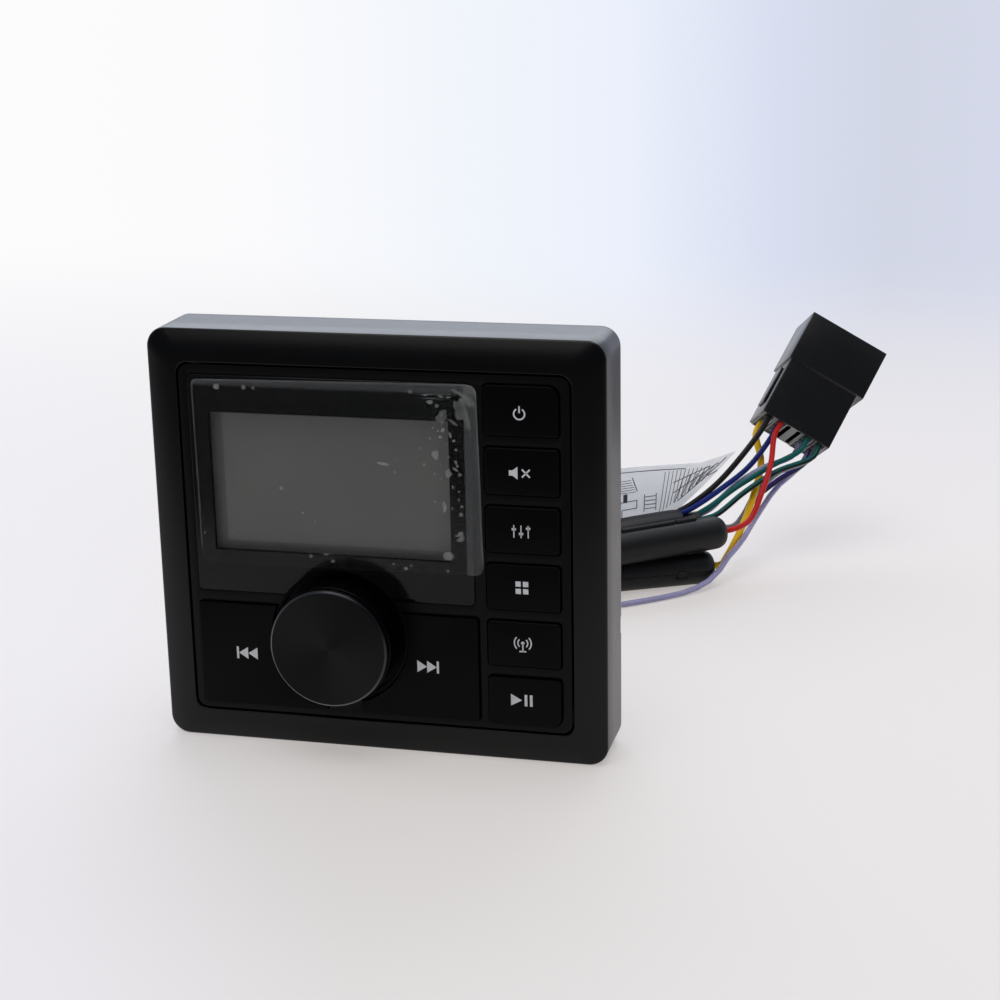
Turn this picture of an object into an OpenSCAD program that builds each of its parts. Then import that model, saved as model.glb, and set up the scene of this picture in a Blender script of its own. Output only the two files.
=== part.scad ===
// Flush-mount marine stereo with its harness, standing on its trim ring.
// Millimetres, Z up, X to the right of the panel, Y away from the viewer.
// The origin is under the middle of the unit, on the table.
// Panel pieces are drawn as seen from the front: x to the right, y up from the table,
// z towards the viewer from the plane of the trim ring's outer front edge.

/* [Trim ring] */
// Width of the trim ring
ring_w = 130.8; // [124:0.2:140]
// Height of the trim ring
ring_h = 121.4; // [116:0.2:130]
// Depth of the trim ring, from its outer front edge to its back
ring_depth = 20.5; // [20:0.5:24]
// Width of the border that frames the face plate
ring_border = 9.2; // [8.4:0.1:10]
// Wall thickness of the trim ring
ring_wall = 2.2; // [1.8:0.1:2.4]
// Radius of the trim ring's outer corners
ring_corner = 5.5; // [4:0.5:8]
// Height of the crown, which rises towards the face plate
ring_crown = 1.8; // [1:0.1:2.5]
// How far the trim ring's top and sides draw in from back to front
ring_draft = 0.1; // [0:0.05:0.5]

/* [Front housing] */
// Groove between trim ring and face plate
plate_gap = 0.6; // [0.4:0.1:1]
// How far the face plate stands in front of the trim ring's outer edge
plate_front = 1.5; // [1.2:0.1:2]
// Thickness of the face plate
plate_t = 2.4; // [2:0.1:2.8]
// Wall thickness of both housings
wall_t = 2; // [1.6:0.1:2.4]
// Thickness of the mounting flange
flange_t = 3; // [2:0.5:3]
// Clearance between the mounting flange and the trim ring's walls
flange_gap = 0.8; // [0.6:0.1:1.2]
// Thickness of the foam gasket behind the flange
gasket_t = 1; // [1:0.25:2]
// Radius of the four mounting holes
mount_hole_r = 1.9; // [1.5:0.1:2.2]
// Distance of the mounting holes from the flange's edges
mount_inset = 3.2; // [3:0.1:3.4]

/* [Keys] */
// Width of the six small keys
key_w = 20.7; // [18:0.1:21]
// Space between two small keys
key_space = 3.4; // [3:0.1:4]
// Extra height of the top and bottom small keys
key_extra = 0.8; // [0.2:0.1:1]
// How far the keys stand in front of the face plate
key_proud = 0.9; // [0.5:0.1:1.5]
// Gap around each key
key_gap = 0.4; // [0.3:0.05:0.5]
// Travel of a key
key_travel = 0.6; // [0.4:0.1:0.8]
// Space between the large keys and the lens
big_key_space = 3.6; // [3:0.1:5]
// Radius of the stem that presses a switch
stem_r = 1.65; // [1.3:0.05:1.7]

/* [Display] */
// How far the lens reaches down beside the knob's well, from the well's top
lens_drop = 7.5; // [6:0.5:9]
// Thickness of the display lens
lens_t = 1.5; // [1.2:0.1:1.6]
// How far the lens stands in front of the face plate
lens_proud = 0.4; // [0.2:0.1:0.6]
// Thickness of the protective film
film_t = 0.15; // [0.1:0.05:0.2]
// Height of the display's visible part above the knob's well
window_rise = 4.25; // [4.2:0.05:6]
// Height of the lens's black border above the display
window_top = 11.15; // [10:0.05:13]
// Width of the lens's black border, left of the display
window_left = 5.1; // [4.6:0.1:7]
// Width of the lens's black border, right of the display
window_right = 6.1; // [5.6:0.1:8]

/* [Knob] */
// Place of the knob, to the right of the middle
knob_x = -11.2; // [-12:0.1:-10.4]
// Height of the knob's axis above the table
knob_z = 34.4; // [34:0.1:34.8]
// Radius of the knob's skirt
knob_r = 17.4; // [16:0.1:17.6]
// How far the knob's cap stands in front of the trim ring's outer edge
knob_reach = 13.2; // [12.6:0.1:15]
// Radius of the well that the knob sits in
well_r = 19; // [18.6:0.1:19.2]
// Push travel of the knob
knob_travel = 0.5; // [0.3:0.1:0.6]
// Radius of the encoder's shaft
shaft_r = 3; // [2.8:0.1:3.1]

/* [Inside] */
// Depth of the key board's front behind the trim ring's outer edge
board_depth = 13; // [12.8:0.1:13.4]
// Thickness of both circuit boards
board_t = 1.6; // [1.2:0.2:2]
// Depth of the main board's front
main_depth = 26; // [24:0.5:27]
// Depth of the rear housing's back
rear_depth = 46; // [45:0.5:50]
// How far sockets and fins stand out of the back
rear_reach = 6.8; // [6:0.2:8]
// Distance of the rear housing's sides from the front housing's inner walls
rear_side = 7.6; // [7.2:0.1:8]
// Distance of the rear housing's top and bottom from the front housing's inner walls
rear_edge = 6.9; // [6.5:0.1:7.5]

/* [Harness] */
// Radius of the black sleeve
sleeve_r = 5; // [4.8:0.1:5.2]
// Radius of the inner sleeve round the speaker wires
inner_sleeve_r = 3; // [2.9:0.1:3]
// Radius of the power wires
power_r = 1.1; // [0.9:0.05:1.1]
// Radius of the speaker wires
wire_r = 0.85; // [0.7:0.05:0.85]
// Radius of a fuse holder
holder_r = 5.85; // [5.6:0.05:5.85]
// Length of a fuse holder
holder_len = 58; // [56:0.5:58]
// Radius of a fuse
fuse_r = 3.15; // [2.5:0.05:3.2]
// Length of a fuse
fuse_len = 30; // [25:1:32]
// Width of the connector
conn_w = 31; // [30:0.5:32]
// Length of the connector's shroud
shroud_len = 19.8; // [18:0.1:22]
// Length of the connector's wire block
block_len = 22.7; // [22:0.1:23]

/* [Hidden] */
$fn = 64;

// Panel frame
unit_depth = knob_reach + rear_depth + rear_reach;
face_y = knob_reach - unit_depth / 2;
eps = 0.01;

// Trim ring
ring_round = 0.9;
ring_front_t = 1.6;
opening_r = 3.5;
hook_reach = 1.3;
hook_len = 10;
hook_t = 0.95;
hook_away = 30;
rib_away = 42;
tab_drop = 2;
notch_y = [32.7, 37.8];
notch_size = [0.8, 1.1];

// Face plate and flange
plate_x = [-ring_w / 2 + ring_border + plate_gap, ring_w / 2 - ring_border - plate_gap];
plate_y = [ring_border + plate_gap, ring_h - ring_border - plate_gap];
plate_r = 3;
plate_back = plate_front - plate_t;
inner_x = grow(plate_x, -wall_t);
inner_y = grow(plate_y, -wall_t);
flange_x = [-ring_w / 2 + ring_wall + flange_gap, ring_w / 2 - ring_wall - flange_gap];
flange_y = [ring_wall + flange_gap, ring_h - ring_wall - flange_gap];
flange_back = ring_depth - gasket_t;
flange_front = flange_back - flange_t;
gasket_inset = 1.2;
middle_y = ring_h / 2;

// Keys, counted from the bottom of the column
side_margin = 2.5;
column_margin = 2.9;
column_gap = 2.8;
key_count = 6;
key_margin = [2.8, 3.4];
key_base = plate_y[0] + key_margin[0];
key_pitch = (plate_y[1] - key_margin[1] + key_space - key_base) / key_count;
key_h = key_pitch - key_space;
column_x = [plate_x[1] - column_margin - key_w, plate_x[1] - column_margin];
key_corner = 1;
end_corner = 3;
key_front = plate_front + key_proud;
lip_gap = 0.1;
lip_t = 1;
lip_reach = 0.9;
area_x = [plate_x[0] + side_margin, column_x[0] - column_gap];
lens_base = knob_z + well_r - lens_drop;
big_key_margin = 2.3;
big_key_y = [plate_y[0] + big_key_margin, lens_base - big_key_space];
previous_reach = 4.3;
next_reach = 5.9;
previous_x = [area_x[0], knob_x - previous_reach];
next_x = [knob_x + next_reach, area_x[1]];
big_stem_share = 0.375;

// Knob, well and encoder
well_wall = 0.7;
well_floor = 3.5;
well_floor_t = 2;
rim_depth = 0.35;
skirt_back = 4.5;
skirt_front = 10.6;
cap_back = 11.2;
cap_r = knob_r - 0.4;
cap_bevel = 0.6;
bushing_r = 3.45;
bushing_front = 1;
shaft_gap = 0.05;
encoder_w = 13;
encoder_front = 6.5;
collar_r = 4;
collar_depth = [8, 9.5];
chamber_r = 4.2;
chamber_front = 7;
shaft_end = 10.5;
shaft_front = 9.5;
socket_front = 9.6;
pocket_front = 8.8;
plunger_t = 1.5;
plunger_gap = 0.1;
chamber_back = shaft_end + plunger_t + knob_travel + 0.2;
nut_r = 5.8;
nut_t = 2;

// Display
lens_x = [area_x[0] + 0.1, area_x[1] - 0.8];
lens_margin = 2.7;
lens_y = [lens_base, plate_y[1] - lens_margin];
lens_gap = 0.2;
lens_seat = plate_front + lens_proud - lens_t;
lens_arc_r = well_r + 0.3;
step_away = 21.8;
step_x = knob_x + step_away;
step_h = 0.7;
window_x = [lens_x[0] + window_left, lens_x[1] - window_right];
window_y = [knob_z + well_r + window_rise, lens_y[1] - window_top];
window_margin = 2;
frame_margin = 3.4;
frame_t = 0.5;
frame_depth = 5.2;
glass_t = 2;
tab_w = 4;
tab_inset = [7.9, 12.3];
frame_tab_x = [window_x[0] + tab_inset[0], window_x[1] - tab_inset[1]];
frame_x = grow(window_x, frame_margin);
frame_y = grow(window_y, frame_margin);
film_offset = [[1.1, -1.2], [2, 0.1], [3.2, 8.5], [1.5, 6.7]];
film_corners = [
  [lens_x[0], lens_y[1]] + film_offset[0], [lens_x[1], lens_y[1]] + film_offset[1],
  [lens_x[1], lens_y[0]] + film_offset[2], [lens_x[0], lens_y[0]] + film_offset[3]
];
film_corner_r = 2;

// Boards and switches
board_side = 9.6;
board_inset = [4.1, 3.7];
board_x = grow(plate_x, -board_side);
board_y = [plate_y[0] + board_inset[0], plate_y[1] - board_inset[1]];
post_r = 2.8;
post_inset = [4.9, 5];
post_gap = [3.45, 2.45];
board_posts = [
  for (
    x = [window_x[0] + post_inset[0], window_x[1] + post_inset[1]],
    y = [frame_y[0] - post_r - post_gap[0], frame_y[1] + post_r + post_gap[1]]
  ) [x, y]
];
pilot_r = 1.05;
screw_r = 1;
screw_hole_r = 1.3;
head_r = 2.2;
head_t = 1.4;
screw_grip = 7;
switch_w = 6;
switch_t = 3.5;
switch_gap = 0.1;
stem_overlap = 0.4;
switch_bore = stem_overlap + key_travel + 0.6;
seal_depth = [4, 5];
seal_hole_r = stem_r + 0.45;
link_x = [-14, 14];
link_rise = 0.2;
link_h = 5;
link_y = grow([middle_y + link_rise, middle_y + link_rise], link_h / 2);

// Rear housing and what it holds
rear_x = grow(inner_x, -rear_side);
rear_y = grow(inner_y, -rear_edge);
cavity_x = grow(rear_x, -wall_t);
cavity_y = grow(rear_y, -wall_t);
case_lip_t = 2;
case_lip_gap = 0.4;
case_post_r = 3.8;
case_post_inset = 3.4;
case_post_front = 5.2;
case_head_r = 2.4;
case_head_t = 2;
case_screw_r = 1.15;
case_pilot_r = 1.2;
case_hole_r = 1.4;
main_x = grow(cavity_x, -1);
main_y = grow(cavity_y, -1);
main_posts = [for (x = [main_x[0] + 4, main_x[1] - 4], y = [main_y[0] + 4, main_y[1] - 4]) [x, y]];
main_back = main_depth + board_t;
inside_back = rear_depth - wall_t;
sink_size = [32, 36];
sink_inset = [6, 4.3];
sink_x = [rear_x[1] - sink_inset[0] - sink_size[0], rear_x[1] - sink_inset[0]];
sink_y = [rear_y[1] - sink_inset[1] - sink_size[1], rear_y[1] - sink_inset[1]];
pad_inset = 4.5;
pad_x = grow(sink_x, -pad_inset);
pad_y = grow(sink_y, -pad_inset);
chip_inset = [6, 10];
chip_x = grow(sink_x, -chip_inset[0]);
chip_y = grow(sink_y, -chip_inset[1]);
chip_t = 4.5;
pad_gap = 0.25;
sink_t = 2.5;
fin_count = 7;
fin_t = 1.6;
fin_inset = 5.5;
fin_y = grow(sink_y, -fin_inset);
sink_screw_inset = 2.5;
sink_screw_y = grow(sink_y, -sink_screw_inset);
antenna_inset = [16, 14.3];
antenna_spot = [rear_x[0] + antenna_inset[0], rear_y[1] - antenna_inset[1]];
antenna_r = 5;
antenna_bore_r = 3.7;
antenna_block = 12;
line_r = 4.15;
line_bore_r = 1.6;
line_pitch = [13, 14];
line_inset = 10;
line_drop = 22;
line_rim = [1.85, 2.35];
line_x = [rear_x[0] + line_inset, rear_x[0] + line_inset + line_pitch[0]];
line_y = [antenna_spot[1] - line_drop - line_pitch[1], antenna_spot[1] - line_drop];
line_spots = [for (x = line_x, y = line_y) [x, y]];
line_block_x = grow(line_x, line_r + line_rim[0]);
line_block_y = grow(line_y, line_r + line_rim[1]);
socket_gap = 0.25;
bore_floor = 1;
capacitor_r = 6;
capacitor_gap = 2;
capacitor_len = inside_back - main_back - 2.9;
capacitor_x = sink_x[0] - 2 * capacitor_r;
capacitor_y = line_block_y[1] + capacitor_r + 1;
capacitor_spots = [
  [capacitor_x, capacitor_y],
  [capacitor_x, capacitor_y + 2 * capacitor_r + capacitor_gap]
];
grommet_x = [-14, 6];
grommet_y = [24, 39];
grommet_flange = 3;
grommet_flange_t = 2.5;
header_depth = 38;
exit_y = face_y + rear_depth + grommet_flange_t;

// Harness on the table, in round numbers: places and directions of the two fuse holders
lower_at = [45.4, 134.2, 5.9];
lower_turn = 27.7;
upper_at = [50.6, 133.2, 17.4];
upper_turn = 33;
upper_tilt = 2.5;
holder_cone = 5;
holder_tip_r = 3;
channel_r = 4.2;
channel_len = 36;
hinge_out = 0.29;
hinge_r = 0.8;
hinge_clearance = 0.15;
shell_knuckle = [-10, 10];
lid_knuckle = [10.3, 18];
clip_t = 0.45;
clip_len = 6;
fuse_glass_r = fuse_r - 0.2;

// Connector: its frame has x across the two blocks, y towards the mating end
conn_at = [92.1, 193.1, 72.7];
conn_turn = [59.3, 30.3, 6.6];
shroud_h = 22.8;
shroud_wall = 1.4;
shroud_floor = 4.8;
socket_x = [[1.4, 14.8], [16.2, 29.6]];
block_x = [0.85, conn_w - 2.45];
block_z = [-20.6, -0.87];
column_u = [4, 9, 20, 25.2];
row_w = [-3.2, -8.1, -13, -17.9];
slot_u = [[11.6, 13], [15.8, 17.2]];
slot_depth = 8;
slot_wall = 1.2;
pin_size = [0.8, 2.6];
pin_end = 12.4;
latch_size = [0.9, 15, 8];
latch_at = [-17.5, -15];

// Sleeve and wires: points chosen by hand along each route, from one end to the other
side_ref = [1, -1, 0];
sleeve_bend = [39.5, 141, 18.5];
sleeve_end = [58.5, 151.8, 20];
inner_end = sleeve_end + 6.8 * unit(sleeve_end - sleeve_bend);
sleeve_route = [
  [-8, exit_y, 34], [-8, 32, 34], [-8, 40, 33], [-6, 56, 27.5], [-2, 78, 19], [4, 100, 13.5],
  [10, 118, 13], [22, 133, 15.5], sleeve_bend, sleeve_end
];
yellow_route = [
  cavity(0, 2), cavity(0, 2, 5), [83.5, 181.5, 35.5], [82, 171, 25], [79, 161, 15.5],
  [75, 151.5, 7.5], lower_tip(1, 3), lower_tip(1)
];
yellow_lead = [
  lower_tip(-1), lower_tip(-1, 4), [9, 104, 1.5], [6, 85, 3], [4, 66, 10], [1, 42, 21.5],
  [-1, 34, 25.5], [-1, exit_y, 26]
];
red_route = [
  cavity(1, 0), cavity(1, 0, 5), [88, 173.5, 37.5], [86, 165, 29], [82.5, 157, 20.5],
  upper_tip(1, 3), upper_tip(1)
];
red_lead = [
  upper_tip(-1), upper_tip(-1, 4), [17, 106, 13], [12, 92, 11], [8, 74, 14.5], [3, 44, 26.5],
  [1, 34, 29.5], [1, exit_y, 30]
];
black_route = [
  cavity(0, 0), cavity(0, 0, 5), [78, 172, 40.5], [71.5, 166, 33], [67.3, 162, 29.3],
  [61.5, 155.2, 25.6], [58, 152.35, 24]
];
navy_route = [
  cavity(1, 1), cavity(1, 1, 5), [80, 175, 35.5], [72, 165, 30], [65, 156.5, 26.1],
  [61.6, 152.6, 24.6], [59, 150.5, 23.8]
];
teal_route = [
  cavity(2, 0), cavity(2, 0, 5), [87, 174.5, 35.5], [76, 166, 29.5], [68.5, 159, 24.5],
  [64.52, 155.11, 22.56]
];
second_teal_route = [
  cavity(3, 0), cavity(3, 0, 5), [90, 175, 34], [79.5, 167, 28], [70.5, 158.5, 21.5],
  [65.49, 153.49, 20.91]
];
lavender_route = [
  cavity(2, 2), cavity(2, 2, 5), [84.3, 177.3, 34.3], [75, 170, 29], [68, 160.5, 23],
  [63.5, 156.9, 21.2]
];
grey_route = [
  cavity(3, 1), cavity(3, 1, 5), [90, 178.5, 32.5], [82.2, 174.5, 24.9], [78.4, 172.5, 17.7],
  [75.3, 168.5, 14.5], [69, 161.5, 16.5], [64.07, 156.57, 18.82]
];
violet_route = [
  cavity(3, 2), cavity(3, 2, 5), [89.2, 182, 28.4], [81.6, 177.5, 22], [78.1, 175.5, 15.8],
  [74, 171, 12.5], [70, 161, 14.5], [65.43, 154.53, 18.59]
];
loose_lavender_route = [
  cavity(3, 3), cavity(3, 3, 5), [89, 183, 25.5], [83, 171, 17], [79.7, 155.8, 12.4],
  [76.2, 148, 9.1], [73.6, 142.5, 5.4], [71, 139, 3.2], [67.8, 134.5, 2], [63.2, 129.5, 0.95],
  [44.5, 113.5, 0.9], [20, 98, 0.9], [15, 82, 2.5], [10.5, 60, 11], [5, 38, 23], [4, exit_y, 25]
];

// Paper tag behind the sleeve: outline along the sleeve and up from the table
tag_at = [32.2, 143.7, 0.1];
tag_turn = 30;
tag_t = 0.3;
tag_points = [[-2, 0], [4, 0], [32.6, 26.7], [49.6, 43.1], [36.3, 39.7], [23, 39.8], [-2, 40.6]];

function grow(v, d) = [v[0] - d, v[1] + d];
function middle_of(v) = (v[0] + v[1]) / 2;
function unit(v) = v / norm(v);
function heading(turn, tilt) = [cos(turn) * cos(tilt), sin(turn) * cos(tilt), sin(tilt)];

// A point on a fuse holder's axis, out of one of its tips
function lower_tip(side, out = 0) = lower_at + side * (holder_len / 2 + out) * heading(lower_turn, 0);
function upper_tip(side, out = 0) =
  upper_at + side * (holder_len / 2 + out) * heading(upper_turn, upper_tilt);

// The connector's three directions, and a point in its frame
function conn_u() = let (y = conn_turn[1], z = conn_turn[2]) [
  cos(z) * cos(y), sin(z) * cos(y), -sin(y)
];
function conn_v() = let (x = conn_turn[0], y = conn_turn[1], z = conn_turn[2]) [
  cos(z) * sin(y) * sin(x) - sin(z) * cos(x),
  sin(z) * sin(y) * sin(x) + cos(z) * cos(x),
  cos(y) * sin(x)
];
function conn_point(p) = conn_at + p[0] * conn_u() + p[1] * conn_v() + p[2] * cross(conn_u(), conn_v());

// Where a wire enters the connector, or a point straight out of there
function cavity(column, row, out = 0) = conn_point([column_u[column], -block_len - out, row_w[row]]);

// Height span of a small key, and the middle of a key's stem
function key_y(i) = [
  key_base + i * key_pitch - (i == 0 ? key_extra : 0),
  key_base + i * key_pitch + key_h + (i == key_count - 1 ? key_extra : 0)
];
function small_stem(i) = [middle_of(column_x), key_base + i * key_pitch + key_h / 2];
function big_stem(x, side) = [
  side < 0 ? x[0] + big_stem_share * (x[1] - x[0]) : x[1] - big_stem_share * (x[1] - x[0]),
  middle_of(big_key_y)
];
stem_spots = concat(
  [for (i = [0:key_count - 1]) small_stem(i)],
  [big_stem(previous_x, -1), big_stem(next_x, 1)]
);
case_spots = [
  for (x = grow(inner_x, -case_post_inset), y = grow(inner_y, -case_post_inset)) [x, y]
];
mount_spots = [for (x = grow(flange_x, -mount_inset), y = grow(flange_y, -mount_inset)) [x, y]];

// Turn a panel drawing upright
module on_panel() translate([0, face_y, 0]) rotate([90, 0, 0]) children();

// Rectangle with round corners between two spans
module slab(x, y, r = 0) {
  if (r == 0) {
    translate([x[0], y[0]]) square([x[1] - x[0], y[1] - y[0]]);
  } else {
    translate([x[0] + r, y[0]]) square([x[1] - x[0] - 2 * r, y[1] - y[0]]);
    translate([x[0], y[0] + r]) square([x[1] - x[0], y[1] - y[0] - 2 * r]);
    for (cx = grow(x, -r), cy = grow(y, -r)) translate([cx, cy]) circle(r);
  }
}

module block(x, y, z, r = 0) translate([0, 0, z[0]]) linear_extrude(z[1] - z[0]) slab(x, y, r);

module rod(at, r, z) translate([at[0], at[1], z[0]]) cylinder(r = r, h = z[1] - z[0]);

// Screw seen from its head: the head lies on the plane, the shank goes behind it
module screw(at, plane, head, thick, shank, reach) {
  rod(at, head, [plane, plane + thick]);
  rod(at, shank, [plane - reach, plane]);
}

// Tube swept along a route, with eight sides
module tube(route, r) {
  n = len(route);
  heads = [for (i = [0:n - 1]) unit(route[min(i + 1, n - 1)] - route[max(i - 1, 0)])];
  points = [
    for (i = [0:n - 1], a = [0:45:315])
      let (e = unit(cross(heads[i], side_ref)), f = cross(heads[i], e))
        route[i] + r * (cos(a) * e + sin(a) * f)
  ];
  walls = [
    for (i = [0:n - 2], k = [0:7])
      let (a = 8 * i + k, b = 8 * i + (k + 1) % 8)
        each [[a, a + 8, b + 8], [a, b + 8, b]]
  ];
  polyhedron(points, concat([[for (k = [0:7]) k]], walls, [[for (k = [7:-1:0]) 8 * (n - 1) + k]]));
}

// One slice of the trim ring's outside, drawn in by an inset
module ring_slice(side, bottom, z, r)
  block([-ring_w / 2 + side, ring_w / 2 - side], [bottom, ring_h - side], [z - eps, z], r, $fn = 32);

module trim_ring() color("#1b1c20") on_panel() {
  difference() {
    hull() {
      ring_slice(0, 0, eps - ring_depth, ring_corner);
      ring_slice(ring_draft, 0, -ring_round, ring_corner);
      ring_slice(ring_draft + 0.3 * ring_round, 0.3 * ring_round, -0.3 * ring_round, ring_corner);
      for (s = [0:0.25:1]) {
        inset = ring_round + s * (ring_border - ring_round);
        height = ring_crown * (1 - pow(1 - s, 2));
        corner = ring_corner + s * (opening_r - ring_corner);
        ring_slice(inset + ring_draft * (1 - s), inset, height, corner);
      }
    }
    block(
      [-ring_w / 2 + ring_border, ring_w / 2 - ring_border],
      [ring_border, ring_h - ring_border],
      [-ring_depth - 1, ring_crown + 1],
      opening_r
    );
    block(
      [-ring_w / 2 + ring_wall, ring_w / 2 - ring_wall],
      [ring_wall, ring_h - ring_wall],
      [-ring_depth - 1, -ring_front_t],
      ring_corner - ring_wall + 0.7
    );
    block(
      [ring_w / 2 - notch_size[0], ring_w / 2 + 1],
      notch_y,
      [-ring_depth - 1, notch_size[1] - ring_depth]
    );
  }
  hook_z = [-ring_depth, hook_t - ring_depth];
  rib_z = [lip_gap - flange_front, eps - ring_front_t];
  for (side = [-1, 1]) {
    ring_tab(side, hook_z, middle_y, hook_away);
    ring_tab(side, rib_z, middle_y, rib_away);
  }
}

// Four tabs inside the trim ring's walls: two at a side, one at the top and one at the bottom
module ring_tab(side, z, middle, away) {
  edge = ring_w / 2 - ring_wall;
  for (y = [middle - away - tab_drop, middle + away + tab_drop - hook_len])
    translate([side * (edge - hook_reach / 2 + 0.1), y, z[0]])
      translate([-hook_reach / 2 - 0.1, 0, 0]) cube([hook_reach + 0.2, hook_len, z[1] - z[0]]);
  for (y = [ring_wall - 0.2, ring_h - ring_wall - hook_reach])
    translate([side * away - hook_len / 2, y, z[0]]) cube([hook_len, hook_reach + 0.2, z[1] - z[0]]);
}

// Outline of a small key, or of its opening when grown
module small_key_outline(i, growth) {
  x = grow(column_x, growth);
  y = grow(key_y(i), growth);
  intersection() {
    slab(x, y, key_corner + growth);
    if (i == 0) slab([x[0] - key_w, x[1]], [y[0], y[1] + key_w], end_corner + growth);
    if (i == key_count - 1) slab([x[0] - key_w, x[1]], [y[0] - key_w, y[1]], end_corner + growth);
  }
}

// Outline of a large key, which follows the knob's well
module big_key_outline(x, growth, arc_r) difference() {
  slab(grow(x, growth), grow(big_key_y, growth), key_corner + growth);
  translate([knob_x, knob_z]) circle(arc_r);
}

// Stem behind a key, which enters the bore of its switch
module stem(at)
  rod(at, stem_r, [switch_t - stem_overlap - board_depth, plate_back - lip_gap - lip_t + eps]);

// Room for the keys' lips inside the front housing's walls
module inside_walls() slab(grow(inner_x, -lip_gap), grow(inner_y, -lip_gap), plate_r - wall_t);

module small_key(i) color("#15161a") on_panel() {
  lip = plate_back - lip_gap;
  translate([0, 0, lip - eps]) linear_extrude(key_front - lip + eps) small_key_outline(i, 0);
  translate([0, 0, lip - lip_t]) linear_extrude(lip_t) intersection() {
    small_key_outline(i, lip_reach);
    inside_walls();
  }
  stem(small_stem(i));
}

module big_key(x, at) color("#15161a") on_panel() {
  lip = plate_back - lip_gap;
  arc = well_r + well_wall + key_gap;
  translate([0, 0, lip - eps]) linear_extrude(key_front - lip + eps) big_key_outline(x, 0, arc);
  translate([0, 0, lip - lip_t]) linear_extrude(lip_t) intersection() {
    big_key_outline(x, lip_reach, arc - 0.1);
    inside_walls();
  }
  stem(at);
}

module lens_outline() difference() {
  slab(lens_x, lens_y, 1.5);
  translate([knob_x, knob_z]) circle(lens_arc_r);
  slab([knob_x, step_x], [lens_y[0] - 1, lens_y[0] + step_h]);
}

module front_housing() color("#1d1e22") on_panel() difference() {
  union() {
    block(plate_x, plate_y, [-flange_back, plate_front], plate_r);
    block(flange_x, flange_y, [-flange_back, -flange_front], ring_corner - 0.5);
  }
  difference() {
    block(inner_x, inner_y, [-flange_back - 1, plate_back], plate_r - wall_t);
    for (at = board_posts) rod(at, post_r, [-board_depth, plate_back + 1]);
    for (at = case_spots) rod(at, case_post_r, [case_lip_t - flange_back, -case_post_front]);
    rod([knob_x, knob_z], well_r + well_wall, [-well_floor - well_floor_t, plate_back + 1]);
  }
  for (at = board_posts) rod(at, pilot_r, [-board_depth - 1, plate_back - 1]);
  for (at = case_spots) rod(at, case_pilot_r, [-flange_back, -case_post_front - 1]);
  for (at = mount_spots) rod(at, mount_hole_r, [-flange_back - 1, 1 - flange_front]);
  rod([knob_x, knob_z], well_r, [-well_floor, plate_front + 1]);
  rod([knob_x, knob_z], well_r + 0.4, [plate_front - rim_depth - 0.8, plate_front + 1]);
  rod([knob_x, knob_z], bushing_r + 0.15, [-well_floor - well_floor_t - 1, 0]);
  block(grow(lens_x, lens_gap), grow(lens_y, lens_gap), [lens_seat, plate_front + 1], 1.7);
  block(grow(window_x, window_margin), grow(window_y, window_margin), [plate_back - 1, plate_front], 1);
  for (i = [0:key_count - 1])
    translate([0, 0, plate_back - 1]) linear_extrude(plate_t + 2) small_key_outline(i, key_gap);
  for (x = [previous_x, next_x])
    translate([0, 0, plate_back - 1]) linear_extrude(plate_t + 2)
      big_key_outline(x, key_gap, well_r + well_wall);
}

module mounting_gasket() color("#26262a") on_panel() difference() {
  block(grow(flange_x, -gasket_inset), grow(flange_y, -gasket_inset), [-ring_depth, -flange_back], 4);
  block(grow(inner_x, 0.3), grow(inner_y, 0.3), [-ring_depth - 1, 0], 2);
  for (at = mount_spots) rod(at, mount_hole_r + 0.3, [-ring_depth - 1, 0]);
}

module display_lens() color("#101114") on_panel()
  translate([0, 0, lens_seat]) linear_extrude(lens_t) lens_outline();

module protective_film() color("#9aa3b0") on_panel() difference() {
  translate([0, 0, lens_seat + lens_t]) linear_extrude(film_t) hull()
    for (at = film_corners)
      translate(at - film_corner_r * [sign(at[0]), sign(at[1] - middle_of(lens_y))])
        circle(film_corner_r, $fn = 24);
  rod([knob_x, knob_z], lens_arc_r, [0, 4]);
}

module lcd_frame() color("#8d9095") on_panel() {
  back = plate_back - frame_depth;
  difference() {
    block(frame_x, frame_y, [back, plate_back]);
    block(grow(frame_x, -frame_t), grow(frame_y, -frame_t), [back - 1, plate_back - frame_t]);
    block(grow(window_x, 0.5), grow(window_y, 0.5), [plate_back - 2, plate_back + 1]);
  }
  for (x = frame_tab_x, y = [frame_y[0], frame_y[1] - frame_t])
    translate([x, y, -board_depth]) cube([tab_w, frame_t, board_depth + plate_back - 1]);
}

module lcd_panel() color("#6d746f") on_panel() {
  front = plate_back - frame_t;
  block(
    grow(window_x, frame_margin - frame_t - 0.1),
    grow(window_y, frame_margin - frame_t - 0.1),
    [front - glass_t, front]
  );
}

module lcd_backlight() color("#e8e9e4") on_panel() {
  front = plate_back - frame_t - glass_t;
  block(
    grow(window_x, frame_margin - frame_t - 0.1),
    grow(window_y, frame_margin - frame_t - 0.1),
    [plate_back - frame_depth, front]
  );
}

module knob() color("#1a1b1f") on_panel() translate([knob_x, knob_z, 0]) rotate_extrude() polygon([
  [shaft_r + 0.03, 2], [shaft_r + 2.2, 2], [shaft_r + 2.2, pocket_front], [knob_r - 2.4, pocket_front],
  [knob_r - 2.4, -1.5], [knob_r - 1, -1.5], [knob_r - 1, skirt_back], [knob_r, skirt_back],
  [knob_r, skirt_front - 0.3], [knob_r - 0.3, skirt_front], [knob_r - 1, skirt_front],
  [knob_r - 1, cap_back], [0, cap_back], [0, socket_front], [shaft_r + 0.03, socket_front]
]);

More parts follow.
